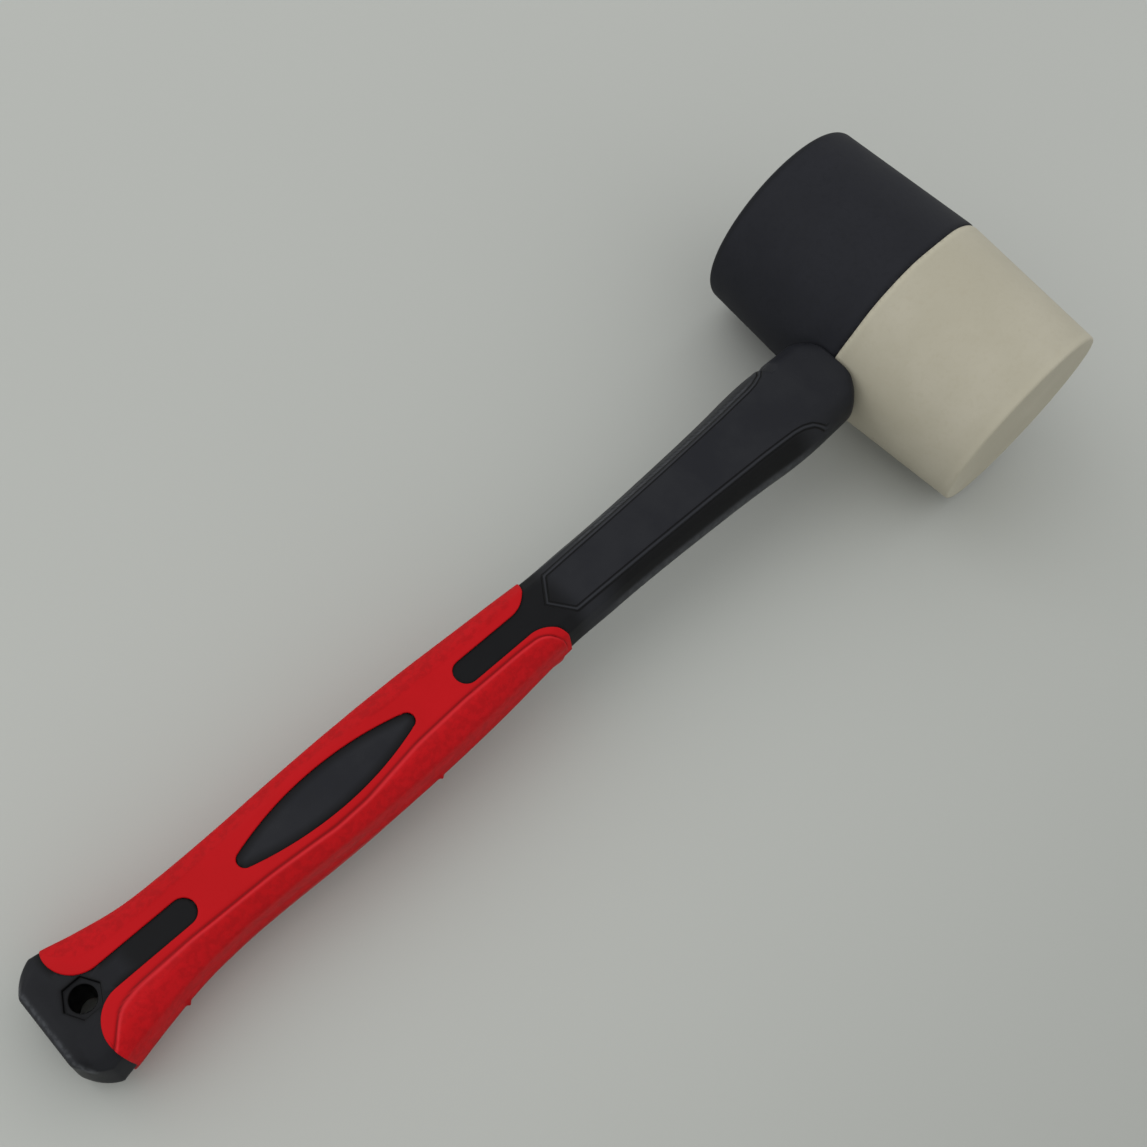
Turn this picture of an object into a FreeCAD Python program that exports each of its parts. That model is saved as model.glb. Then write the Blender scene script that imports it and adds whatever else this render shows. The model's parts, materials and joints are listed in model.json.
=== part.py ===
"""Two-faced rubber mallet with a jacketed fibreglass handle, lying at rest on a floor.

Every sub-part is modelled in the tool's own axes, in millimetres: the origin is where the
handle's axis crosses the head's axis, +X runs from the butt to the head, +Y along the head
towards the black face, and +Z is square to the flat of the handle. The finished sub-parts
then take one common placement, which lays the tool on a floor at z = 0: the head rests on
its widest ring and the handle on the lower edge of its butt.
"""

import FreeCAD, Part
import math
import os

import Sketcher

SHEET = "Sizes"

# Head, two rubber compounds vulcanised together on the seam.
HEAD = {
    "head_mid_radius": 30.0,
    "black_face_radius": 27.4,
    "white_face_radius": 27.4,
    "black_length": 44.4,
    "white_length": 43.0,
    "black_rim_round": 2.4,
    "white_rim_round": 0.7,
}

# Core rod and the resin that fixes it in the eye.
CORE = {
    "core_radius": 5.0,
    "core_chamfer": 0.6,
    "core_tip_below_crown": 1.6,
    "core_rear_inset": 26.5,
    "bond_gap": 1.6,
    "bond_below_core_tip": 0.9,
}

# Jacket: how far the butt's end is from the head's axis, how far the neck's end dips below
# the head's crown, the rounding of both ends, the hang hole and its hexagonal recesses.
# Here and below an inset is a distance from the butt's end towards the head.
JACKET = {
    "butt_reach": 272.5,
    "neck_end_dip": 1.2,
    "butt_corner_half_width": 16.5,
    "neck_corner_half_width": 13.1,
    "butt_corner_round": 6.8,
    "neck_corner_round": 8.6,
    "end_half_thick": 9.2,
    "butt_edge_round": 2.2,
    "neck_edge_round": 2.0,
    "hang_inset": 9.5,
    "hang_radius": 2.85,
    "hex_across_flats": 7.6,
    "hex_depth": 1.2,
}

# Overmoulded grip: skin thickness, ends and the windows that show the jacket.
GRIP = {
    "skin": 1.8,
    "grip_rear_inset": 7.9,
    "grip_length": 131.6,
    "lobe_front_round": 8.0,
    "lobe_rear_round": 7.6,
    "slot_half_width": 3.1,
    "rear_slot_inset": 37.7,
    "lens_inset": 73.8,
    "front_slot_inset": 111.3,
    "lens_bow_half": 23.3,
    "lens_half_width": 5.4,
    "lens_tip_half": 1.9,
    "lens_tip_round": 2.0,
}

# Cross-sections of the handle. Each row is where the section stands, then half width, half
# thickness, half width of the flat, half height of the side and crown.
SECTION_SIZES = ("place", "half_width", "half_thick", "flat_half", "side_half", "crown")

# Along the grip a section's place is its inset from the butt's end.
GRIP_SECTIONS = {
    "past_butt": (-1.5, 18.0, 9.0, 13.6, 4.6, 0.4),
    "flare": (10.5, 15.3, 9.1, 10.6, 4.4, 0.6),
    "heel": (22.5, 12.6, 9.0, 8.2, 3.4, 0.8),
    "waist": (38.5, 11.3, 8.5, 6.8, 2.8, 1.0),
    "swell_rear": (62.5, 11.75, 9.1, 6.8, 2.6, 1.2),
    "swell": (90.5, 12.3, 9.5, 7.0, 2.6, 1.2),
    "fore_grip": (122.5, 11.2, 8.5, 6.4, 2.8, 0.9),
    "throat": (152.5, 9.95, 8.0, 5.8, 3.0, 0.3),
}

# Along the neck it is the share of the way from the throat to the shoulder.
NECK_SECTIONS = {
    "neck_rear": (0.49, 10.8, 8.4, 6.3, 3.2, 0.1),
    "neck_front": (0.8, 12.05, 8.8, 7.2, 3.4, 0.1),
}

# At the head it is the distance outside the head's widest ring.
HEAD_SECTIONS = {
    "shoulder": (20.0, 13.0, 9.0, 8.0, 3.6, 0.1),
    "collar": (6.0, 12.6, 9.0, 8.0, 4.0, 0.3),
    "seat": (-6.0, 12.4, 8.8, 8.0, 4.0, 0.3),
}


class Size:
    """A length with its value now and the sheet expression that drives it."""

    def __init__(self, text, value):
        self.text = text
        self.value = value

    def join(self, sign, other):
        """Sum or difference with another Size or a plain number."""
        if not isinstance(other, Size):
            other = Size(f"{other} mm", other)
        value = self.value + other.value if sign == "+" else self.value - other.value
        return Size(f"({self.text} {sign} {other.text})", value)

    def __add__(self, other):
        return self.join("+", other)

    def __sub__(self, other):
        return self.join("-", other)

    def __neg__(self):
        return Size(f"-({self.text})", -self.value)

    def __mul__(self, factor):
        return Size(f"({self.text} * {factor})", self.value * factor)


class Sizes:
    """The sheet of driving dimensions: each one is an attribute, as a Size."""

    def __init__(self, doc):
        self.sheet = doc.addObject("Spreadsheet::Sheet", SHEET)
        self.row = 0

    def write(self, name, value):
        """Put one plain number in the next cell, with its alias."""
        self.row += 1
        self.sheet.set(f"A{self.row}", name)
        self.sheet.set(f"B{self.row}", str(value))
        self.sheet.setAlias(f"B{self.row}", name)
        setattr(self, name, Size(f"{SHEET}.{name} * 1 mm", value))


def fill_sheet(doc):
    """Write every driving dimension and give back the sizes by name."""
    sizes = Sizes(doc)
    for group in (HEAD, CORE, JACKET, GRIP):
        for name, value in group.items():
            sizes.write(name, value)
    for station, values in {**GRIP_SECTIONS, **NECK_SECTIONS, **HEAD_SECTIONS}.items():
        for name, value in zip(SECTION_SIZES, values):
            sizes.write(f"{station}_{name}", value)
    doc.recompute()
    return sizes


def sketch_on(body, name, role, offset=None):
    """New sketch on one of the body's own origin planes, moved along its normal by offset."""
    sketch = body.newObject("Sketcher::SketchObject", name)
    plane = next(f for f in body.Origin.OriginFeatures if f.Role == role)
    sketch.AttachmentSupport = [(plane, "")]
    sketch.MapMode = "FlatFace"
    if offset is not None:
        sketch.AttachmentOffset = FreeCAD.Placement(
            FreeCAD.Vector(0, 0, offset.value), FreeCAD.Rotation()
        )
        sketch.setExpression("AttachmentOffset.Base.z", offset.text)
    return sketch


def pin(sketch, edge, point, x, y):
    """Hold one end of an edge at x, y from the sketch's origin; None means on that axis."""
    for kind, coordinate, axis in (("DistanceX", x, -2), ("DistanceY", y, -1)):
        if coordinate is None:
            sketch.addConstraint(Sketcher.Constraint("PointOnObject", edge, point, axis))
            continue
        if coordinate.value < 0:
            ends = (edge, point, -1, 1)
            size = -coordinate
        else:
            ends = (-1, 1, edge, point)
            size = coordinate
        index = sketch.addConstraint(Sketcher.Constraint(kind, *ends, size.value))
        sketch.setExpression(f"Constraints[{index}]", size.text)


def at(x, y):
    """Sketch point from two sizes, where None is zero."""
    return FreeCAD.Vector(0.0 if x is None else x.value, 0.0 if y is None else y.value, 0.0)


def arc_between(start, end, radius, turn):
    """Arc from start to end, turning left for +1 and right for -1.

    With no radius it is a half circle.
    """
    chord = end - start
    middle = (start + end) * 0.5
    side = FreeCAD.Vector(-chord.y, chord.x, 0.0).normalize() * turn
    if radius is None:
        return Part.Arc(start, middle - side * (chord.Length / 2), end)
    rise = math.sqrt(radius.value**2 - chord.Length**2 / 4)
    return Part.Arc(start, middle - side * (radius.value - rise), end)


def closed_outline(sketch, corners, arcs=None):
    """Closed profile through corners in order; arcs maps an edge's index to (radius, turn).

    A radius of None is a half circle, between two corners that are level across the sketch.
    """
    arcs = arcs or {}
    edges = []
    for index, corner in enumerate(corners):
        following = corners[(index + 1) % len(corners)]
        start, end = at(*corner), at(*following)
        if index in arcs:
            radius, turn = arcs[index]
            edge = sketch.addGeometry(arc_between(start, end, radius, turn), False)
            reverse = turn < 0
        else:
            edge = sketch.addGeometry(Part.LineSegment(start, end), False)
            reverse = False
        # An arc is always stored turning left, so one that turns right has its ends swapped.
        edges.append((edge, 2 if reverse else 1, 1 if reverse else 2))
    for index, (edge, start_point, end_point) in enumerate(edges):
        pin(sketch, edge, start_point, *corners[index])
        next_edge, next_start, _ = edges[(index + 1) % len(edges)]
        sketch.addConstraint(
            Sketcher.Constraint("Coincident", edge, end_point, next_edge, next_start)
        )
        if index in arcs:
            fix_arc(sketch, edge, arcs[index][0])


def fix_arc(sketch, edge, radius):
    """Hold an arc whose ends are pinned: by its radius, or as a half circle."""
    if radius is None:
        sketch.addConstraint(Sketcher.Constraint("Vertical", edge, 3, edge, 1))
        return
    row = sketch.addConstraint(Sketcher.Constraint("Radius", edge, radius.value))
    sketch.setExpression(f"Constraints[{row}]", radius.text)


def add_circle(sketch, x, y, radius):
    """Full circle about x, y."""
    edge = sketch.addGeometry(Part.Circle(at(x, y), FreeCAD.Vector(0, 0, 1), radius.value), False)
    pin(sketch, edge, 3, x, y)
    row = sketch.addConstraint(Sketcher.Constraint("Radius", edge, radius.value))
    sketch.setExpression(f"Constraints[{row}]", radius.text)


def new_body(doc, name):
    """Empty PartDesign body."""
    return doc.addObject("PartDesign::Body", name)


def pad_both_ways(body, sketch, name, half_height):
    """Pad a sketch by half_height to each side of its plane."""
    pad = body.newObject("PartDesign::Pad", name)
    pad.Profile = sketch
    pad.Midplane = True
    pad.setExpression("Length", (half_height * 2).text)
    return pad


def combine(doc, kind, name, first, second):
    """Part boolean of two objects: kind is Cut, Common or Fuse."""
    result = doc.addObject(f"Part::{kind}", name)
    result.Base = first
    result.Tool = second
    return result


def head_half(doc, name, sizes, side):
    """One rubber half: a flat cone frustum from the seam to a rounded rim, turned about Y.

    side is +1 for the half on +Y and -1 for the half on -Y.
    """
    colour = "black" if side > 0 else "white"
    length = getattr(sizes, f"{colour}_length")
    face_radius = getattr(sizes, f"{colour}_face_radius")
    rim_round = getattr(sizes, f"{colour}_rim_round")
    middle = sizes.head_mid_radius
    body = new_body(doc, name)
    sketch = sketch_on(body, f"{name}Profile", "XY_Plane")
    reach = length if side > 0 else -length
    corners = [(None, None), (middle, None), (face_radius, reach), (None, reach)]
    closed_outline(sketch, corners)
    turned = body.newObject("PartDesign::Revolution", f"{name}Turned")
    turned.Profile = sketch
    turned.ReferenceAxis = (sketch, ["V_Axis"])
    turned.Angle = 360.0
    doc.recompute()
    rim = rim_edge(turned.Shape, face_radius.value)
    fillet = body.newObject("PartDesign::Fillet", f"{name}Rim")
    fillet.Base = (turned, [rim])
    fillet.setExpression("Radius", rim_round.text)
    body.Tip = fillet
    return body


def rim_edge(shape, radius):
    """Name of the circular edge that has this radius and lies away from the seam."""
    for index, edge in enumerate(shape.Edges, 1):
        curve = edge.Curve
        is_circle = isinstance(curve, Part.Circle) and abs(curve.Radius - radius) < 1e-4
        if is_circle and abs(curve.Center.y) > 1.0:
            return f"Edge{index}"
    raise RuntimeError("the head half has no rim edge")


def section_reach(sizes, station):
    """Distance of a section from the head's axis."""
    place = getattr(sizes, f"{station}_place")
    if station in GRIP_SECTIONS:
        return sizes.butt_reach - place
    if station in HEAD_SECTIONS:
        return sizes.head_mid_radius + place
    throat, shoulder = section_reach(sizes, "throat"), section_reach(sizes, "shoulder")
    stretch = throat - shoulder
    text = f"({throat.text} - ({stretch.text}) * {place.text} / 1 mm)"
    return Size(text, throat.value - stretch.value * place.value)


def section(body, name, sizes, station, inset):
    """Twelve-sided section of the handle at a station, pulled in by inset all round.

    The flat, the knee of the bevel and the side are named by the station's sizes. The crown
    pushes the knee out of the straight line between the flat and the side.
    """
    width, thick, flat, side, crown = (
        getattr(sizes, f"{station}_{size}") for size in SECTION_SIZES[1:]
    )
    if inset is not None:
        width = width - inset
        thick = thick - inset
        flat = flat - inset * 0.5
    knee = ((flat + width) * 0.5 + crown, (thick + side) * 0.5 + crown)
    quarter = [(flat, thick), knee, (width, side)]
    half = quarter + [(y, -z) for y, z in reversed(quarter)]
    corners = half + [(-y, z) for y, z in reversed(half)]
    sketch = sketch_on(body, name, "YZ_Plane", -section_reach(sizes, station))
    closed_outline(sketch, corners)
    return sketch


def handle_loft(doc, name, sizes, stations, inset=None):
    """Smooth loft through the stations' sections."""
    body = new_body(doc, name)
    sketches = [section(body, f"{name}_{s}", sizes, s, inset) for s in stations]
    loft = body.newObject("PartDesign::AdditiveLoft", f"{name}Loft")
    loft.Profile = sketches[0]
    loft.Sections = sketches[1:]
    loft.Ruled = False
    return body


def end_outline(doc, sizes):
    """Plan of the handle's ends: a long trapezium whose corners are rounded."""
    body = new_body(doc, "PlanForm")
    sketch = sketch_on(body, "PlanOutline", "XY_Plane")
    rear, front = -sizes.butt_reach, sizes.neck_end_dip - sizes.head_mid_radius
    rear_half, front_half = sizes.butt_corner_half_width, sizes.neck_corner_half_width
    corners = [(rear, -rear_half), (front, -front_half), (front, front_half), (rear, rear_half)]
    closed_outline(sketch, corners)
    pad = pad_both_ways(body, sketch, "PlanPad", sizes.end_half_thick * 2)
    doc.recompute()
    return round_corners(doc, body, pad, sizes.butt_corner_round, sizes.neck_corner_round, "Z")


def side_outline(doc, sizes):
    """Side view of the handle's ends: a rectangle whose corners are rounded."""
    body = new_body(doc, "SideForm")
    sketch = sketch_on(body, "SideOutline", "XZ_Plane")
    rear, front = -sizes.butt_reach, sizes.neck_end_dip - sizes.head_mid_radius
    half = sizes.end_half_thick
    corners = [(rear, -half), (front, -half), (front, half), (rear, half)]
    closed_outline(sketch, corners)
    pad = pad_both_ways(body, sketch, "SidePad", sizes.butt_corner_half_width * 2)
    doc.recompute()
    return round_corners(doc, body, pad, sizes.butt_edge_round, sizes.neck_edge_round, "Y")


def round_corners(doc, body, pad, rear_round, front_round, along):
    """Round the four corner edges of a pad: two radii, for the rear and the front pair."""
    last = pad
    for end, radius in (("Rear", rear_round), ("Front", front_round)):
        edges = corner_edges(last.Shape, along, end == "Front")
        fillet = body.newObject("PartDesign::Fillet", f"{body.Name}{end}")
        fillet.Base = (last, edges)
        fillet.setExpression("Radius", radius.text)
        doc.recompute()
        last = fillet
    body.Tip = last
    return body


def corner_edges(shape, along, front):
    """Names of the straight edges that run along an axis at the front or the rear end."""
    direction = {"Y": FreeCAD.Vector(0, 1, 0), "Z": FreeCAD.Vector(0, 0, 1)}[along]
    end = shape.BoundBox.XMax if front else shape.BoundBox.XMin
    names = []
    for index, edge in enumerate(shape.Edges, 1):
        if not isinstance(edge.Curve, Part.Line):
            continue
        runs_along = abs(edge.tangentAt(edge.FirstParameter).dot(direction)) > 0.999
        if runs_along and abs(edge.CenterOfMass.x - end) < 0.01:
            names.append(f"Edge{index}")
    return names


def grip_outline(doc, sizes):
    """Plan of the red skin: two slots open at the ends, with rounded mouths, and a lens."""
    body = new_body(doc, "GripPlan")
    sketch = sketch_on(body, "GripOutline", "XY_Plane")
    slot = sizes.slot_half_width
    outside = sizes.butt_corner_half_width * 1.5
    rear = sizes.grip_rear_inset - sizes.butt_reach
    front = rear + sizes.grip_length
    front_round, rear_round = sizes.lobe_front_round, sizes.lobe_rear_round
    front_slot = sizes.front_slot_inset - sizes.butt_reach + slot
    rear_slot = sizes.rear_slot_inset - sizes.butt_reach - slot
    nose = slot + rear_round * 2
    upper = [
        (front_slot, slot),
        (front - front_round, slot),
        (front, slot + front_round),
        (front, outside),
        (rear + rear_round, outside),
        (rear + rear_round, nose),
        (rear + rear_round, slot),
        (rear_slot, slot),
    ]
    corners = upper + [(x, -y) for x, y in reversed(upper)]
    arcs = {
        1: (front_round, 1),
        5: (None, 1),
        7: (None, -1),
        9: (None, 1),
        13: (front_round, 1),
        15: (None, -1),
    }
    closed_outline(sketch, corners, arcs)
    pad_both_ways(body, sketch, "GripPad", sizes.end_half_thick * 2)
    return body


def lens_window(doc, sizes):
    """Plan of the lens in the grip: two shallow arcs joined by small rounded tips."""
    body = new_body(doc, "LensPlan")
    sketch = sketch_on(body, "LensOutline", "XY_Plane")
    centre, bow_half = sizes.lens_inset - sizes.butt_reach, sizes.lens_bow_half
    tip, tip_round = sizes.lens_tip_half, sizes.lens_tip_round
    front, rear = centre + bow_half, centre - bow_half
    rise = sizes.lens_half_width - tip
    bow = Size(
        f"(({bow_half.text})^2 + ({rise.text})^2) / (2 * ({rise.text}))",
        (bow_half.value**2 + rise.value**2) / (2 * rise.value),
    )
    corners = [(front, tip), (rear, tip), (rear, -tip), (front, -tip)]
    arcs = {0: (bow, 1), 1: (tip_round, 1), 2: (bow, 1), 3: (tip_round, 1)}
    closed_outline(sketch, corners, arcs)
    pad_both_ways(body, sketch, "LensPad", sizes.end_half_thick * 2)
    return body


def rod(doc, name, radius, start, end):
    """Round bar along X from start to end, both distances along the tool's X axis."""
    body = new_body(doc, name)
    sketch = sketch_on(body, f"{name}Circle", "YZ_Plane", start)
    add_circle(sketch, None, None, radius)
    pad = body.newObject("PartDesign::Pad", f"{name}Pad")
    pad.Profile = sketch
    pad.setExpression("Length", (end - start).text)
    return body


def chamfered(doc, name, base, size):
    """The base with every round edge chamfered."""
    doc.recompute()
    result = doc.addObject("Part::Chamfer", name)
    result.Base = base
    rims = [i for i, e in enumerate(base.Shape.Edges, 1) if isinstance(e.Curve, Part.Circle)]
    result.Edges = [(index, size.value, size.value) for index in rims]
    return result


def hang_hole(doc, sizes):
    """Round hang hole through the butt, with a hexagonal recess round each mouth.

    The hexagons have a corner on the handle's axis at the front and at the rear.
    """
    body = new_body(doc, "HangHole")
    sketch = sketch_on(body, "HangCircle", "XY_Plane")
    centre = sizes.hang_inset - sizes.butt_reach
    add_circle(sketch, centre, None, sizes.hang_radius)
    pad_both_ways(body, sketch, "HangPad", sizes.end_half_thick * 2)
    flare_face = sizes.flare_half_thick
    cutters = [body]
    for side in (1, -1):
        recess = doc.addObject("Part::Prism", "HexTop" if side > 0 else "HexBottom")
        recess.Polygon = 6
        recess.setExpression("Circumradius", (sizes.hex_across_flats * 0.5773503).text)
        recess.setExpression("Height", (sizes.hex_depth * 4).text)
        floor = flare_face - sizes.hex_depth
        lift = floor if side > 0 else -(floor + sizes.hex_depth * 4)
        recess.Placement.Base = FreeCAD.Vector(centre.value, 0, lift.value)
        recess.setExpression("Placement.Base.x", centre.text)
        recess.setExpression("Placement.Base.z", lift.text)
        cutters.append(recess)
    hole = doc.addObject("Part::MultiFuse", "HangCutter")
    hole.Shapes = cutters
    return hole


def lay_on_floor(node, sizes):
    """Turn a finished sub-part into the rest position and lift it onto the floor.

    The floor touches the head's widest ring, whose radius is the head's middle radius, and
    passes under the butt's lower edge. The lift keeps the overall box centred on the origin
    along X and its lowest point at z = 0.
    """
    reach = f"({(sizes.butt_reach - sizes.butt_edge_round).text})"
    drop = f"({sizes.flare_half_thick.text})"
    radius = f"({sizes.head_mid_radius.text})"
    tilt = f"(asin({radius} / sqrt({reach}^2 + {drop}^2)) - atan({drop} / {reach}))"
    centre = f"(({sizes.butt_reach.text}) * cos({tilt}) - {radius}) / 2"
    node.Placement = FreeCAD.Placement(
        FreeCAD.Vector(), FreeCAD.Rotation(FreeCAD.Vector(0, 1, 0), -1)
    )
    node.setExpression("Placement.Rotation.Angle", f"-{tilt}")
    node.setExpression("Placement.Base.x", centre)
    node.setExpression("Placement.Base.z", radius)


def build(doc):
    """Make every sub-part and give back the finished ones, by the name of their node."""
    sizes = fill_sheet(doc)
    black_form = head_half(doc, "BlackForm", sizes, 1)
    white_form = head_half(doc, "WhiteForm", sizes, -1)
    head_form = combine(doc, "Fuse", "HeadForm", black_form, white_form)
    crown = sizes.head_mid_radius
    core_tip = crown - sizes.core_tip_below_crown
    core_rear = sizes.core_rear_inset - sizes.butt_reach
    eye_radius = sizes.core_radius + sizes.bond_gap
    eye = rod(doc, "Eye", eye_radius, -crown, crown)
    core = rod(doc, "CoreRod", sizes.core_radius, core_rear, core_tip)
    fill = rod(doc, "EyeFill", eye_radius, -crown, core_tip - sizes.bond_below_core_tip)
    fill = combine(doc, "Common", "EyeFillTrimmed", fill, head_form)

    form = handle_loft(doc, "HandleForm", sizes, [*GRIP_SECTIONS, *NECK_SECTIONS, *HEAD_SECTIONS])
    form = combine(doc, "Common", "PlanTrimmed", form, end_outline(doc, sizes))
    form = combine(doc, "Common", "EndTrimmed", form, side_outline(doc, sizes))
    bed = handle_loft(doc, "GripBed", sizes, list(GRIP_SECTIONS), sizes.skin)
    grip_plan = combine(doc, "Cut", "GripWindows", grip_outline(doc, sizes), lens_window(doc, sizes))
    grip_block = combine(doc, "Common", "GripBlock", form, grip_plan)
    skin_tool = combine(doc, "Cut", "SkinTool", grip_block, bed)

    jacket = combine(doc, "Cut", "JacketBedded", form, skin_tool)
    for tool in (core, hang_hole(doc, sizes)):
        jacket = combine(doc, "Cut", f"JacketLess{tool.Name}", jacket, tool)

    nodes = {
        "black_head_half": combine(doc, "Cut", "BlackHalf", black_form, eye),
        "white_head_half": combine(doc, "Cut", "WhiteHalf", white_form, eye),
        "fibreglass_core": chamfered(doc, "Core", core, sizes.core_chamfer),
        "eye_resin": combine(doc, "Cut", "Resin", fill, core),
        "handle_jacket": combine(doc, "Cut", "Jacket", jacket, head_form),
        "grip_sleeve": combine(doc, "Cut", "Grip", grip_block, bed),
    }
    for name, node in nodes.items():
        node.Label = name
        lay_on_floor(node, sizes)
    return nodes


def check(doc, nodes):
    """Stop if any object failed or any finished sub-part is not a valid solid."""
    for item in doc.Objects:
        if "Invalid" in item.State or "Error" in item.State:
            raise RuntimeError(f"{item.Name} failed: {item.State}")
    for name, node in nodes.items():
        shape = node.Shape
        if shape.isNull() or not shape.isValid() or not shape.Solids:
            raise RuntimeError(f"{name} is not a valid solid")
        print(f"{name}: {len(shape.Solids)} solid(s), {shape.Volume / 1000:.2f} cm3")


def main():
    """Build the mallet, check it and write one STEP file for each sub-part."""
    doc = FreeCAD.newDocument("RubberMallet")
    nodes = build(doc)
    doc.recompute()
    check(doc, nodes)
    os.makedirs("parts", exist_ok=True)
    for node in nodes.values():
        node.Shape.exportStep(f"parts/{node.Label}.step")


main()
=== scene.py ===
"""Looks of a two-faced rubber mallet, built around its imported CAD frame.

Lengths are written in millimetres in the tool's own axes and turned into metres in the row
frame by ToolAxes. In those axes the origin is where the handle's axis crosses the head's axis,
+X runs from the butt to the head, +Y along the head towards the black face, and +Z is square
to the flat of the handle.
"""

import sys
import json
import logging
import math
from dataclasses import dataclass, field
from enum import Enum

import bmesh
import bpy
import numpy as np
from mathutils import Matrix, Vector


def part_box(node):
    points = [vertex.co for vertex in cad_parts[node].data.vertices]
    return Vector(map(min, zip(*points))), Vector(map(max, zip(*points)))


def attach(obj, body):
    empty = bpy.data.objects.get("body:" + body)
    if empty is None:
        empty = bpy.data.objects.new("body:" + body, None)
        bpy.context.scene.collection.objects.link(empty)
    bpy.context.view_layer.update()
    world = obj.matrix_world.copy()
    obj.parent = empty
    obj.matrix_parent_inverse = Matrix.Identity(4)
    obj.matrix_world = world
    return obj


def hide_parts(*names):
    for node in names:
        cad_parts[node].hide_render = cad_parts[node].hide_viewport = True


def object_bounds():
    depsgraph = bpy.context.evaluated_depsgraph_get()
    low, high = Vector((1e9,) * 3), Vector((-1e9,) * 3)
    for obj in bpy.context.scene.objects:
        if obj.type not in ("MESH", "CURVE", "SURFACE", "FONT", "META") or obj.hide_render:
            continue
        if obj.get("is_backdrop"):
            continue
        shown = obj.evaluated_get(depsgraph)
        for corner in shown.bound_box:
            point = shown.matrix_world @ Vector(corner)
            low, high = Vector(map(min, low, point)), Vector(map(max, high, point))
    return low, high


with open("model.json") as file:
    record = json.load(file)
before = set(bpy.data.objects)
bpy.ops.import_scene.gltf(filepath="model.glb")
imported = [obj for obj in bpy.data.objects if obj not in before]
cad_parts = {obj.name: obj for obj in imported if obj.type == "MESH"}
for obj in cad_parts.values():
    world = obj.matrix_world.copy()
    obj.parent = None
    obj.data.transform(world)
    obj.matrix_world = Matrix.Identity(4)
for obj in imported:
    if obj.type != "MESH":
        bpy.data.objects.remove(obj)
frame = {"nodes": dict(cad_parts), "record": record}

MM = 0.001
WELD = 1.5e-6
LOG = logging.getLogger("mallet")
Array = np.ndarray
Range = tuple[float, float]


class Slot(Enum):
    """Material slots of the record."""

    BLACK_RUBBER = "black_rubber"
    WHITE_RUBBER = "white_rubber"
    FIBREGLASS = "fibreglass"
    RESIN = "resin"
    JACKET = "black_jacket"
    GRIP = "red_grip"


# ==== Small numpy tools ====


def smoothstep(low: float, high: float, value: Array) -> Array:
    """Ease from 0 at low to 1 at high.

    With t = (value - low) / (high - low) held between 0 and 1, the result is t*t*(3 - 2*t).

    Args:
        low: Value that gives 0.
        high: Value that gives 1; it may be less than low.
        value: Values to ease.

    Returns:
        Array of the same shape, from 0 to 1.
    """
    t = np.clip((value - low) / (high - low), 0.0, 1.0)
    return t * t * (3.0 - 2.0 * t)


def stretch(rise: Range, fall: Range, value: Array) -> Array:
    """1 between a rise and a fall, easing to 0 outside them."""
    return smoothstep(*rise, value) * smoothstep(*fall, value)


def bell(value: Array, width: float) -> Array:
    """Gaussian bump exp(-(value / width)^2)."""
    return np.exp(-((value / width) ** 2))


def natural_spline(knots: Array, values: Array, where: Array) -> Array:
    """Natural cubic spline through values at knots, read at where.

    The second derivatives m solve the usual tridiagonal system, with m = 0 at both ends.

    Args:
        knots: Rising positions, shape (k,).
        values: One row for each knot, shape (k, c).
        where: Positions to read, shape (n,).

    Returns:
        Values at those positions, shape (n, c).
    """
    count = len(knots)
    gap = np.diff(knots)
    slope = np.diff(values, axis=0) / gap[:, None]
    matrix = np.eye(count)
    inner = np.arange(1, count - 1)
    matrix[inner, inner - 1] = gap[:-1]
    matrix[inner, inner] = 2.0 * (gap[:-1] + gap[1:])
    matrix[inner, inner + 1] = gap[1:]
    right = np.zeros_like(values)
    right[1:-1] = 6.0 * np.diff(slope, axis=0)
    bend = np.linalg.solve(matrix, right)
    i = np.clip(np.searchsorted(knots, where) - 1, 0, count - 2)
    h = gap[i][:, None]
    a = (knots[i + 1] - where)[:, None] / h
    b = 1.0 - a
    curve = ((a**3 - a) * bend[i] + (b**3 - b) * bend[i + 1]) * h**2 / 6.0
    return a * values[i] + b * values[i + 1] + curve


def row_lookup(table: Array, position: Array) -> Array:
    """Read each row of a table at fractional column positions, by straight interpolation.

    Args:
        table: Shape (n, k) or (n, k, c).
        position: Fractional columns, shape (n, m).

    Returns:
        Shape (n, m) or (n, m, c).
    """
    low = np.clip(np.floor(position).astype(int), 0, table.shape[1] - 2)
    part = position - low
    rows = np.arange(table.shape[0])[:, None]
    if table.ndim == 3:
        part = part[..., None]
    return table[rows, low] * (1.0 - part) + table[rows, low + 1] * part


def row_inverse(table: Array, target: Array) -> Array:
    """Fractional column at which each rising row of a table reaches its target.

    Args:
        table: Rows that rise along the columns, shape (n, k).
        target: One value for each row, shape (n,).

    Returns:
        Fractional columns, shape (n,).
    """
    last = table.shape[1] - 2
    low = np.clip((table < target[:, None]).sum(axis=1) - 1, 0, last)
    rows = np.arange(table.shape[0])
    start, end = table[rows, low], table[rows, low + 1]
    part = (target - start) / np.where(np.abs(end - start) < 1e-9, 1.0, end - start)
    return low + np.clip(part, 0.0, 1.0)


def stations(*stretches: tuple[float, float, float]) -> Array:
    """Rising positions over several stretches, each with its own spacing.

    Args:
        stretches: Start, end and spacing of each stretch.

    Returns:
        Rising positions, shape (n,).
    """
    parts = [np.linspace(a, b, max(2, int(round((b - a) / step)) + 1)) for a, b, step in stretches]
    return np.unique(np.round(np.concatenate(parts), 5))


def grid_quads(rows: int, columns: int, wrap: bool = False) -> Array:
    """Point numbers of a grid's quads, shape (n, 4); wrap joins the last column to the first."""
    index = np.arange(rows * columns).reshape(rows, columns)
    if wrap:
        index = np.concatenate([index, index[:, :1]], axis=1)
    quads = np.stack([index[:-1, :-1], index[1:, :-1], index[1:, 1:], index[:-1, 1:]], axis=-1)
    return quads.reshape(-1, 4)


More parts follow.
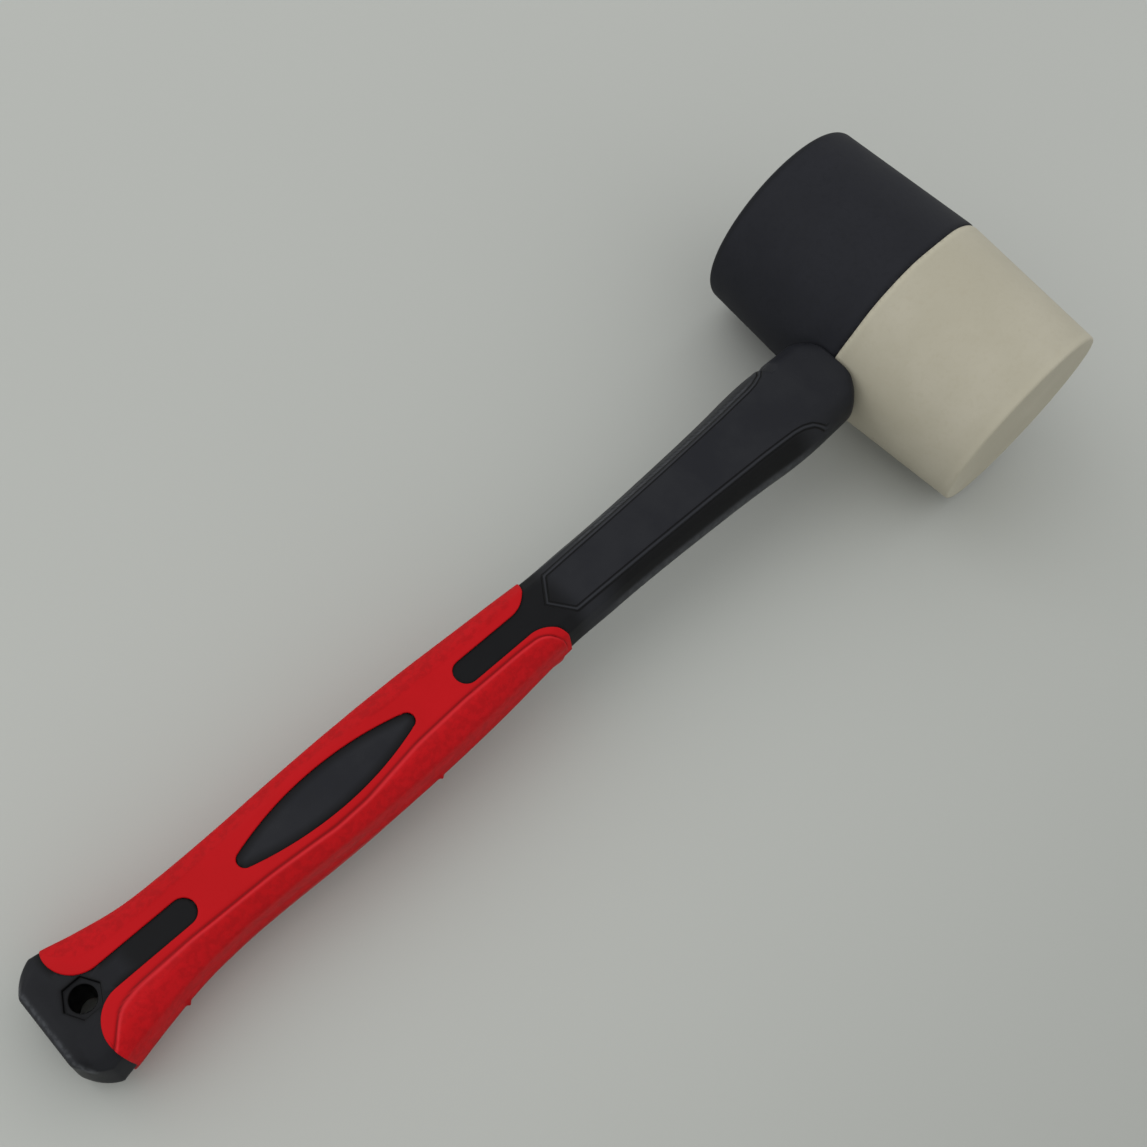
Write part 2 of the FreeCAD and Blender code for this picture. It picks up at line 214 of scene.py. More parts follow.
def arc_stations(tip: float, radius: float, count: int) -> Array:
    """Positions that crowd towards a tip, as a circle's points do when seen edge on.

    Args:
        tip: Position of the tip.
        radius: Signed distance from the tip to the circle's centre.
        count: Number of positions.

    Returns:
        Positions from the tip to the centre, shape (count,).
    """
    angle = np.linspace(0.0, math.pi / 2, count)
    return tip + radius * (1.0 - np.cos(angle))


# ==== Frame, meshes and materials ====


@dataclass
class ToolAxes:
    """The tool's own axes as they lie in the row frame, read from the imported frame.

    The head's axis is the middle of the black half's box, and the handle's tilt is that of the
    hang hole's mount.
    """

    origin: Array = field(init=False)
    turn: Array = field(init=False)

    def __post_init__(self) -> None:
        low, high = (np.array(corner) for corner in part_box("black_head_half"))
        hole = next(m for m in frame["record"]["mounts"] if m["name"] == "hang_hole")
        up = np.array(hole["axis"], float)
        up /= np.linalg.norm(up)
        along = np.array([up[2], 0.0, -up[0]])
        middle = (low + high) / 2.0
        self.origin = np.array([middle[0], 0.0, middle[2]])
        self.turn = np.stack([along, [0.0, 1.0, 0.0], up])

    def to_row(self, points: Array) -> Array:
        """Points in millimetres in the tool's axes as metres in the row frame."""
        return (points * MM) @ self.turn + self.origin


class MeshBuilder:
    """Collects grids of points in the tool's axes and makes one welded mesh of them."""

    def __init__(self, name: str, axes: ToolAxes) -> None:
        self.name = name
        self.axes = axes
        self.points: list[Array] = []
        self.faces: list[Array] = []
        self.marks: list[dict[str, Array]] = []
        self.count = 0

    def add_grid(self, grid: Array, wrap: bool = False, **marks: Array) -> None:
        """Add a grid of points as quads.

        Args:
            grid: Points in millimetres, shape (n, m, 3).
            wrap: Join the last column to the first.
            marks: Named values at the points, each of shape (n, m).
        """
        rows, columns = grid.shape[:2]
        self.faces.append(grid_quads(rows, columns, wrap) + self.count)
        self.points.append(grid.reshape(-1, 3))
        spread = {key: np.broadcast_to(v, (rows, columns)).ravel() for key, v in marks.items()}
        self.marks.append(spread)
        self.count += rows * columns

    def build(
        self, body: str, slot: Slot, replaced: str, split_plane: bool = False
    ) -> bpy.types.Object:
        """Make the object, weld its seams and poles, and tie it to the frame.

        Args:
            body: CAD body it rides on.
            slot: The record's material slot; not used.
            replaced: CAD node it stands for.
            split_plane: Leave out faces that lie in the plane y = 0, where two sides meet.

        Returns:
            The finished object.
        """
        points = np.concatenate(self.points)
        faces = np.concatenate(self.faces)
        if split_plane:
            faces = faces[np.abs(points[faces, 1]).max(axis=1) > 1e-7]
        mesh = bpy.data.meshes.new(self.name)
        mesh.from_pydata(self.axes.to_row(points).tolist(), [], faces.tolist())
        tool = mesh.attributes.new("tool", "FLOAT_VECTOR", "POINT")
        tool.data.foreach_set("vector", points.astype(np.float32).ravel())
        for key in sorted({key for marks in self.marks for key in marks}):
            values = [m.get(key, np.zeros(len(p))) for m, p in zip(self.marks, self.points)]
            layer = mesh.attributes.new(key, "FLOAT", "POINT")
            layer.data.foreach_set("value", np.concatenate(values).astype(np.float32))
        work = bmesh.new()
        work.from_mesh(mesh)
        bmesh.ops.remove_doubles(work, verts=work.verts, dist=WELD)
        bmesh.ops.dissolve_degenerate(work, edges=work.edges, dist=1e-7)
        bmesh.ops.recalc_face_normals(work, faces=work.faces)
        open_edges = sum(1 for edge in work.edges if not edge.is_manifold)
        work.to_mesh(mesh)
        work.free()
        mesh.shade_smooth()
        piece = bpy.data.objects.new(self.name, mesh)
        bpy.context.scene.collection.objects.link(piece)
        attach(piece, body)
        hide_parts(replaced)
        LOG.info("%s: %d faces, %d open edges", self.name, len(mesh.polygons), open_edges)
        return piece


def linear(colour: str) -> tuple[float, float, float, float]:
    """Linear colour of an sRGB hex such as "c8102e", with an alpha of 1."""
    parts = [int(colour[i : i + 2], 16) / 255.0 for i in (0, 2, 4)]
    low = [p / 12.92 if p <= 0.04045 else ((p + 0.055) / 1.055) ** 2.4 for p in parts]
    return low[0], low[1], low[2], 1.0


class Shader:
    """A material's node tree, with one small way to add a node, its settings and its links."""

    def __init__(self, name: str) -> None:
        self.material = bpy.data.materials.new(name)
        self.material.use_nodes = True
        self.tree = self.material.node_tree
        self.tree.nodes.clear()

    def node(self, kind: str, settings: dict | None = None, **inputs: object) -> bpy.types.Node:
        """Add a node.

        Args:
            kind: Blender's type name of the node.
            settings: Attributes of the node, by name.
            inputs: Values or output sockets for its inputs. A key is the socket's name with _
                for a space, or i0, i1... for the socket's index.

        Returns:
            The new node.
        """
        made = self.tree.nodes.new(kind)
        for key, value in (settings or {}).items():
            setattr(made, key, value)
        for key, value in inputs.items():
            indexed = key[0] == "i" and key[1:].isdigit()
            socket = made.inputs[int(key[1:])] if indexed else made.inputs[key.replace("_", " ")]
            if isinstance(value, bpy.types.NodeSocket):
                self.tree.links.new(value, socket)
            else:
                socket.default_value = value
        return made

    def math(self, operation: str, first: object, second: object = 0.0) -> bpy.types.NodeSocket:
        """Output of a Math node."""
        return self.node("ShaderNodeMath", {"operation": operation}, i0=first, i1=second).outputs[0]

    def times(self, first: object, second: object) -> bpy.types.NodeSocket:
        """Product of two values."""
        return self.math("MULTIPLY", first, second)

    def ramp(
        self, value: object, low: float, high: float, start: float = 0.0, end: float = 1.0
    ) -> bpy.types.NodeSocket:
        """Output of a smooth Map Range node from low..high to start..end."""
        made = self.node(
            "ShaderNodeMapRange",
            {"interpolation_type": "SMOOTHSTEP"},
            Value=value,
            From_Min=low,
            From_Max=high,
            To_Min=start,
            To_Max=end,
        )
        return made.outputs["Result"]

    def stripe(
        self, value: object, centre: float, inner: float, outer: float
    ) -> bpy.types.NodeSocket:
        """1 where value is within inner of the centre, easing to 0 at outer."""
        away = self.math("ABSOLUTE", self.math("SUBTRACT", value, centre))
        return self.math("SUBTRACT", 1.0, self.ramp(away, inner, outer))

    def noise(
        self, where: object, size: float, detail: float, rough: float = 0.55
    ) -> bpy.types.NodeSocket:
        """Noise whose blobs are about that size, in the unit of the points."""
        sockets = {"Scale": 1.0 / size, "Detail": detail, "Roughness": rough}
        return self.node("ShaderNodeTexNoise", {}, Vector=where, **sockets).outputs[0]

    def mix(self, factor: object, first: object, second: object) -> bpy.types.NodeSocket:
        """Colour mixed from first to second."""
        made = self.node("ShaderNodeMix", {"data_type": "RGBA"}, i0=factor, i6=first, i7=second)
        return made.outputs[2]

    def tint(
        self, colour: object, where: object, amount: float, tone: str
    ) -> bpy.types.NodeSocket:
        """Colour drawn by the amount towards a hex tone, where the value is 1."""
        return self.mix(self.times(where, amount), colour, linear(tone))

    def finish(
        self, colour: object, rough: object, height: object, depth_mm: float, **extra: object
    ) -> bpy.types.Material:
        """End the tree in a Principled shader.

        Args:
            colour: Base colour.
            rough: Roughness.
            height: Relief from 0 to 1.
            depth_mm: How deep the relief is.
            extra: Values for other sockets of the shader, set on it directly.

        Returns:
            The finished material.
        """
        bump = self.node("ShaderNodeBump", {}, Strength=1.0, Distance=depth_mm * MM, Height=height)
        sockets = {"Base_Color": colour, "Roughness": rough, "Normal": bump.outputs[0]}
        surface = self.node("ShaderNodeBsdfPrincipled", {}, **sockets)
        for key, value in extra.items():
            surface.inputs[key.replace("_", " ")].default_value = value
        self.node("ShaderNodeOutputMaterial", {}, Surface=surface.outputs[0])
        return self.material

    def object_points(self) -> bpy.types.NodeSocket:
        """The piece's Object coordinates in millimetres."""
        points = self.node("ShaderNodeTexCoord").outputs["Object"]
        scale = {"operation": "SCALE"}
        return self.node("ShaderNodeVectorMath", scale, i0=points, Scale=1.0 / MM).outputs[0]

    def tool_points(self) -> bpy.types.NodeSocket:
        """The piece's own points in millimetres, in the tool's axes."""
        return self.node("ShaderNodeAttribute", {"attribute_name": "tool"}).outputs["Vector"]

    def mark(self, name: str) -> bpy.types.NodeSocket:
        """One of the piece's own named values."""
        return self.node("ShaderNodeAttribute", {"attribute_name": name}).outputs["Fac"]


def dress(piece: bpy.types.Object, material: bpy.types.Material) -> None:
    """Give a piece its one material."""
    piece.data.materials.clear()
    piece.data.materials.append(material)


# ==== Finishes ====


@dataclass(frozen=True)
class MouldedRubber:
    """Vulcanised rubber straight from a blasted mould: a fine matt grain, faint cloudy bloom, and a
    painted edge tone along its marked edges: painted shade on the black half, a painted highlight
    on the white.
    """

    name: str
    base: str
    bloom: str
    shade: str
    edge_shading_tone: str
    specular: float
    rough: float = 0.66
    cloud_mm: float = 16.0
    wave_mm: float = 7.0
    grain_mm: float = 0.45
    grain_depth_mm: float = 0.012

    def make(self) -> bpy.types.Material:
        """The finished material."""
        shader = Shader(self.name)
        where = shader.tool_points()
        cloud = shader.ramp(shader.noise(where, self.cloud_mm, 4.0), 0.35, 0.7)
        fleck = shader.ramp(shader.noise(where, self.grain_mm * 3.0, 2.0), 0.45, 0.75)
        colour = shader.mix(cloud, linear(self.base), linear(self.bloom))
        colour = shader.tint(colour, fleck, 0.25, self.shade)
        # Painted edge shading along the edge mark: the black half's dark tone is painted shade, the
        # white half's light tone is a painted highlight.
        colour = shader.tint(colour, shader.mark("edge"), 0.6, self.edge_shading_tone)
        grain = shader.noise(where, self.grain_mm, 2.0)
        wave = shader.times(shader.noise(where, self.wave_mm, 1.0), 3.0)
        height = shader.math("ADD", grain, wave)
        rough = shader.ramp(cloud, 0.0, 1.0, self.rough - 0.04, self.rough + 0.05)
        depth = self.grain_depth_mm
        return shader.finish(colour, rough, height, depth, Specular_IOR_Level=self.specular)


@dataclass(frozen=True)
class JacketPlastic:
    """Black polypropylene moulded on the rod: satin, with a raised panel and ribs on the neck, and
    painted shade and painted highlights laid on by the piece's marks.
    """

    name: str = "black moulded jacket"
    base: str = "1d1e23"
    worn: str = "232428"
    dust: str = "2a2b2f"
    # Painted shade tone, for the shade mark and the panel's grooves.
    crease: str = "040405"
    # Painted highlight tone, for the raised line between the panel's grooves and the tops of the
    # ribs.
    edge: str = "3c3e43"
    # Painted highlight tone, for the highlights and reflections of the jacket's highlight mark.
    highlight_tone: str = "484a4e"
    # Painted shade tone, near black, for the gap mark.
    gap: str = "010101"
    rough: float = 0.44
    cloud_mm: float = 12.0
    speck_mm: float = 0.9
    highlight_patch_mm: float = 1.3
    grain_mm: float = 0.35
    grain_depth_mm: float = 0.014
    rib_mm: float = 0.55
    specular: float = 0.12

    def make(self) -> bpy.types.Material:
        """The finished material."""
        shader = Shader(self.name)
        where = shader.tool_points()
        cloud = shader.ramp(shader.noise(where, self.cloud_mm, 4.0), 0.35, 0.7)
        colour = shader.mix(cloud, linear(self.base), linear(self.worn))
        speck = shader.ramp(shader.noise(where, self.speck_mm, 2.0), 0.62, 0.8)
        colour = shader.tint(colour, speck, 0.25, self.dust)
        panel, lined = shader.mark("panel"), shader.mark("lined")
        inner = shader.stripe(panel, 0.3, 0.08, 0.3)
        outer = shader.stripe(panel, -0.75, 0.08, 0.34)
        groove = shader.times(shader.math("MAXIMUM", inner, outer), lined)
        crest = shader.times(shader.stripe(panel, -0.2, 0.05, 0.35), lined)
        # Painted shade from the shade mark, then painted shade in the panel's grooves and a painted
        # highlight on the line between them.
        colour = shader.mix(shader.mark("shade"), colour, linear(self.crease))
        colour = shader.tint(colour, groove, 0.9, self.crease)
        colour = shader.tint(colour, crest, 0.35, self.edge)
        # Painted highlights and reflections from the highlight mark, broken into patches by noise.
        broken = shader.ramp(shader.noise(where, self.highlight_patch_mm, 2.0), 0.35, 0.6)
        patchy = shader.math("ADD", shader.times(broken, 0.6), 0.4)
        worn = shader.times(shader.mark("worn"), patchy)
        colour = shader.mix(worn, colour, linear(self.highlight_tone))
        # Painted shade along the gap mark: the red's edge, the hang hole's recess and its bore.
        colour = shader.tint(colour, shader.mark("gap"), 0.95, self.gap)
        ribbed = shader.mark("ribbed")
        split = shader.node("ShaderNodeSeparateXYZ", {}, Vector=where)
        turns = 2.0 * math.pi / self.rib_mm
        wave = shader.math("SINE", shader.times(split.outputs[0], turns))
        # Painted highlight on the tops of the ribs.
        rib_highlight = shader.times(shader.ramp(wave, -0.2, 0.8), ribbed)
        colour = shader.tint(colour, rib_highlight, 0.5, self.edge)
        ribs = shader.times(shader.times(wave, 3.0), ribbed)
        height = shader.math("ADD", shader.noise(where, self.grain_mm, 2.0), ribs)
        height = shader.math("SUBTRACT", height, shader.times(groove, 12.0))
        rough = shader.ramp(cloud, 0.0, 1.0, self.rough - 0.03, self.rough + 0.06)
        depth = self.grain_depth_mm
        return shader.finish(colour, rough, height, depth, Specular_IOR_Level=self.specular)


@dataclass(frozen=True)
class GripRubber:
    """Red thermoplastic rubber shot over the jacket: silky top, a leathery grain on the sides,
    painted shade under the proud band's edge and a painted highlight along it.
    """

    name: str = "red overmoulded grip"
    base: str = "b00810"
    light: str = "b60b14"
    deep: str = "8a050b"
    # Painted shade tone.
    crease: str = "5c0408"
    # Painted highlight tone.
    crest: str = "d8323a"
    rough: float = 0.5
    cloud_mm: float = 14.0
    leather_mm: float = 1.6
    grain_mm: float = 0.4
    grain_depth_mm: float = 0.016
    specular: float = 0.1

    def make(self) -> bpy.types.Material:
        """The finished material."""
        shader = Shader(self.name)
        where = shader.tool_points()
        cloud = shader.ramp(shader.noise(where, self.cloud_mm, 4.0), 0.3, 0.7)
        colour = shader.mix(cloud, linear(self.base), linear(self.light))
        side = shader.mark("side")
        leather = shader.noise(where, self.leather_mm, 5.0, 0.6)
        hollow = shader.math("SUBTRACT", 1.0, shader.ramp(leather, 0.38, 0.6))
        colour = shader.tint(colour, shader.times(hollow, side), 0.35, self.deep)
        colour = shader.tint(colour, shader.mark("seam"), 0.6, self.deep)
        # Painted shade in the fold under the proud band, and a painted highlight along its top
        # edge.
        colour = shader.tint(colour, shader.mark("crease"), 0.75, self.crease)
        colour = shader.tint(colour, shader.mark("crest"), 0.5, self.crest)
        fine = shader.times(shader.noise(where, self.grain_mm, 2.0), 0.8)
        relief = shader.times(shader.times(leather, side), 5.0)
        height = shader.math("ADD", fine, relief)
        rough = shader.ramp(cloud, 0.0, 1.0, self.rough - 0.04, self.rough + 0.05)
        depth = self.grain_depth_mm
        return shader.finish(colour, rough, height, depth, Specular_IOR_Level=self.specular)


@dataclass(frozen=True)
class CutFibreglass:
    """Pultruded rod sawn square: yellow-grey resin full of the ends of glass strands."""

    name: str = "pultruded fibreglass"
    base: str = "b9b06a"
    strand: str = "d8d2a6"
    dark: str = "7d7640"

    def make(self) -> bpy.types.Material:
        """The finished material."""
        shader = Shader(self.name)
        where = shader.object_points()
        edges = {"feature": "DISTANCE_TO_EDGE"}
        strands = shader.node("ShaderNodeTexVoronoi", edges, Vector=where, Scale=2.4)
        ends = shader.ramp(strands.outputs["Distance"], 0.02, 0.2)
        cloud = shader.noise(where, 3.0, 3.0)
        colour = shader.mix(ends, linear(self.dark), linear(self.base))
        colour = shader.mix(shader.ramp(cloud, 0.4, 0.75), colour, linear(self.strand))
        return shader.finish(colour, 0.55, ends, 0.03)


@dataclass(frozen=True)
class SetResin:
    """Dark epoxy poured into the eye: smooth where it set, with a few trapped bubbles."""

    name: str = "set epoxy"
    base: str = "2b2a26"
    light: str = "46433a"

    def make(self) -> bpy.types.Material:
        """The finished material."""
        shader = Shader(self.name)
        where = shader.object_points()
        bubbles = shader.node("ShaderNodeTexVoronoi", {}, Vector=where, Scale=0.9)
        pit = shader.ramp(bubbles.outputs["Distance"], 0.1, 0.22)
        cloud = shader.noise(where, 4.0, 3.0)
        colour = shader.mix(shader.ramp(cloud, 0.3, 0.7), linear(self.base), linear(self.light))
        return shader.finish(colour, 0.28, pit, 0.12, Coat_Weight=0.3, Coat_Roughness=0.2)


# ==== The handle's form ====


@dataclass(frozen=True)
class Section:
    """One cross-section of the handle, in millimetres.

    The quarter runs from the middle of the flat to its edge, over the knee of the bevel to the
    top of the side, and down to the parting line. The crown pushes the knee outwards, and the
    draft draws the top of the side in from the parting line, where the handle is widest.
    """

    x: float
    half_width: float
    half_thick: float
    flat_half: float
    side_half: float
    crown: float
    draft: float = 0.7

    def quarter(self) -> list[tuple[float, float]]:
        """Corners (y, z) of the quarter from the flat's middle to the side's middle."""
        knee_y = (self.flat_half + self.half_width) / 2.0 + self.crown
        knee_z = (self.half_thick + self.side_half) / 2.0 + self.crown
        return [
            (0.0, self.half_thick),
            (self.flat_half, self.half_thick),
            (knee_y, knee_z),
            (self.half_width - self.draft, self.side_half),
            (self.half_width, 0.0),
        ]


HANDLE_SECTIONS = (
    Section(-274.0, 17.4, 9.0, 13.2, 4.6, 0.3, 1.1),
    Section(-268.0, 16.3, 9.1, 11.8, 4.5, 0.4, 1.1),
    Section(-262.0, 15.3, 9.1, 10.6, 4.4, 0.6, 1.0),
    Section(-250.0, 12.6, 9.0, 8.2, 3.4, 0.8),
    Section(-234.0, 11.3, 8.5, 6.8, 2.8, 1.0),
    Section(-210.0, 11.75, 9.1, 6.8, 2.6, 1.2),
    Section(-182.0, 12.3, 9.5, 7.0, 2.6, 1.2),
    Section(-150.0, 11.2, 8.5, 6.4, 2.8, 0.9),
    Section(-120.0, 9.95, 8.0, 5.8, 3.0, 0.3),
    Section(-86.0, 10.8, 8.4, 6.3, 3.2, 0.1),
    Section(-64.0, 12.05, 8.8, 7.2, 3.4, 0.1),
    Section(-50.0, 13.0, 9.0, 8.0, 3.6, 0.1),
    Section(-36.0, 12.6, 9.0, 8.0, 4.0, 0.3),
    Section(-24.0, 12.4, 8.8, 8.0, 4.0, 0.3),
)


@dataclass
class HandleForm:
    """Outer form of the handle as a function of the distance x and a place s round it.

    s runs from 0 at the middle of the top flat over +Y at a quarter and the bottom at a half to
    1. At each x the quarter's corners are joined by straight lines, mirrored to a loop and
    smoothed round the loop with a Gaussian, which turns the corners into soft knuckles. Near
    the two ends the loop is drawn in by the plan's and the side view's rounded corners.
    """

    butt_x: float = -272.5
    neck_x: float = -28.8
    butt_half: float = 16.5
    neck_half: float = 13.1
    butt_corner: float = 7.6
    butt_power: float = 1.5
    neck_corner: float = 8.6
    half_thick: float = 9.2
    butt_edge: float = 2.2
    neck_edge: float = 2.0
    knuckle: float = 0.011
    soft_knuckle: float = 0.034
    soft_from: float = -60.0
    soft_to: float = -42.0
    lean: float = 0.45
    butt_lean: float = 0.35
    slant: float = 0.03
    swell: float = 0.45
    samples: int = 960

    def quarter_stops(self) -> Array:
        """Places of the quarter's five corners, as shares of the quarter."""
        return np.array([0.0, 0.32, 0.56, 0.8, 1.0])

    def loops(self, x: Array) -> Array:
        """Closed smooth loop at each x.

        Args:
            x: Distances along the handle, shape (n,).

        Returns:
            Points (y, z) at evenly spaced s, shape (n, samples + 1, 2), the last as the first.
        """
        knots = np.array([s.x for s in HANDLE_SECTIONS])
        corners = np.array([s.quarter() for s in HANDLE_SECTIONS])
        quarter = natural_spline(knots, corners.reshape(len(knots), -1), x).reshape(-1, 5, 2)
        s = np.arange(self.samples) / self.samples
        fold = np.abs(s - np.round(s)) * 2.0
        share = np.where(fold > 0.5, 1.0 - fold, fold) * 2.0
        position = np.interp(share, self.quarter_stops(), np.arange(5.0))
        position = np.broadcast_to(position, (len(x), self.samples))
        loop = row_lookup(quarter, position)
        loop[..., 0] *= np.where(s > 0.5, -1.0, 1.0)
        loop[..., 1] *= np.where(fold > 0.5, -1.0, 1.0)
        blend = smoothstep(self.soft_from, self.soft_to, x)[:, None, None]
        smooth = self.soften(loop, self.knuckle) * (1.0 - blend)
        smooth = smooth + self.soften(loop, self.soft_knuckle) * blend
        smooth *= self.end_scale(x, smooth)[:, None, :]
        return np.concatenate([smooth, smooth[:, :1]], axis=1)

    def soften(self, loop: Array, width: float) -> Array:
        """Loops smoothed round themselves by a Gaussian of that width in s."""
        reach = int(3 * width * self.samples)
        offsets = np.arange(-reach, reach + 1)
        weights = bell(offsets / self.samples, width)
        weights /= weights.sum()
        return sum(w * np.roll(loop, k, axis=1) for w, k in zip(weights, offsets))

    def end_scale(self, x: Array, loop: Array) -> Array:
        """How much each loop is drawn in across and through, near the two ends."""
        run = (x - self.butt_x) / (self.neck_x - self.butt_x)
        plan = self.butt_half + (self.neck_half - self.butt_half) * run
        plan = plan - self.neck_drop(x, self.neck_corner) - self.butt_drop(x)
        side = self.half_thick - self.neck_drop(x, self.neck_edge)
        extent = np.abs(loop).max(axis=1)
        return np.minimum(1.0, np.stack([plan, side], axis=1) / extent)

    def butt_drop(self, x: Array) -> Array:
        """Drop of the butt's blunt corners, r - r(1 - (d/r)^p)^(1/p) with d past the centre."""
        corner, power = self.butt_corner, self.butt_power
        past = np.clip(self.butt_x + corner - x, 0.0, corner) / corner
        return corner * (1.0 - (1.0 - past**power) ** (1.0 / power))

    def settle(self, points: Array) -> Array:
        """Points with the handle's slight lean to -Y and the butt's slight slant.

        With w the lean at x, y becomes y - w(|y|/12)^2, and near the butt x becomes x + k*y with
        k the slant. The -Y side also swells a little towards the butt, by w2(|y|/15)^2.
        """
        x, y = points[..., 0], points[..., 1]
        lean = self.lean * smoothstep(-134.0, -158.0, x) + self.butt_lean * bell(x + 247.0, 8.0)
        lean = lean * (1.0 - 0.75 * smoothstep(-256.0, -265.0, x))
        slant = self.slant * smoothstep(-258.0, -268.0, x)
        steps = smoothstep(-226.0, -236.0, x) + smoothstep(-256.0, -266.0, x)
        swell = self.swell * steps * (y < 0.0)
        moved = y - lean * (np.abs(y) / 12.0) ** 2 - swell * (np.abs(y) / 15.0) ** 2
        return np.stack([x + slant * y, moved, points[..., 2]], axis=-1)

    def neck_drop(self, x: Array, radius: float) -> Array:
        """Drop r - sqrt(r^2 - d^2) of a quarter circle at the neck's end, d past its centre."""
        past = np.clip(x - (self.neck_x - radius), 0.0, radius)
        return radius - np.sqrt(radius**2 - past**2)

    def surface(self, x: Array, loop: Array, s: Array, inset: Array) -> Array:
        """Points at x and s, moved inwards by inset along the loop's own normal.

        Args:
            x: Distances, shape (n, m).
            loop: The loops at the rows' distances, from loops().
            s: Places round the loop, shape (n, m).
            inset: Distance inwards in millimetres, shape (n, m).

        Returns:
            Points (x, y, z), shape (n, m, 3).
        """
        position = (s % 1.0) * self.samples
        flat = row_lookup(loop, position)
        step = np.roll(loop[:, :-1], -1, axis=1) - np.roll(loop[:, :-1], 1, axis=1)
        normal = np.stack([-step[..., 1], step[..., 0]], axis=-1)
        normal /= np.linalg.norm(normal, axis=-1, keepdims=True) + 1e-12
        normal = np.concatenate([normal, normal[:, :1]], axis=1)
        out = row_lookup(normal, position)
        out /= np.linalg.norm(out, axis=-1, keepdims=True) + 1e-12
        points = flat + out * inset[..., None] * np.sign(self.winding(loop))
        limit = self.butt_edge_limit(x, points[..., 0])
        points[..., 1] = np.clip(points[..., 1], -limit, limit)
        return np.concatenate([x[..., None], points], axis=-1)

    def butt_edge_limit(self, x: Array, y: Array) -> Array:
        """Highest z near the butt's end, whose edge is rounded all along its plan outline.

        With d the distance in plan from the end's rounded outline and e the edge's radius, the
        limit is the half thickness less e - sqrt(e^2 - (e - d)^2).
        """
        short = np.clip(self.butt_edge - self.butt_inside(x, y), 0.0, self.butt_edge)
        drop = self.butt_edge - np.sqrt(self.butt_edge**2 - short**2)
        return self.half_thick - np.where(x < self.butt_x + 14.0, drop, 0.0)

    def butt_inside(self, x: Array, y: Array) -> Array:
        """Distance in plan from the butt's outline, positive inside."""
        corner = self.butt_corner
        past = np.stack([self.butt_x + corner - x, np.abs(y) - (self.butt_half - corner)], axis=-1)
        beyond = np.linalg.norm(np.clip(past, 0.0, None), ord=self.butt_power, axis=-1)
        return corner - beyond - np.minimum(past.max(axis=-1), 0.0)

    @staticmethod
    def winding(loop: Array) -> float:
        """-1 if the loop's left-hand normal points outwards, so that inset goes inwards."""
        y, z = loop[0, :-1, 0], loop[0, :-1, 1]
        area = np.sum(y * np.roll(z, -1) - np.roll(y, -1) * z)
        return 1.0 if area > 0 else -1.0


# ==== Sub-assemblies ====


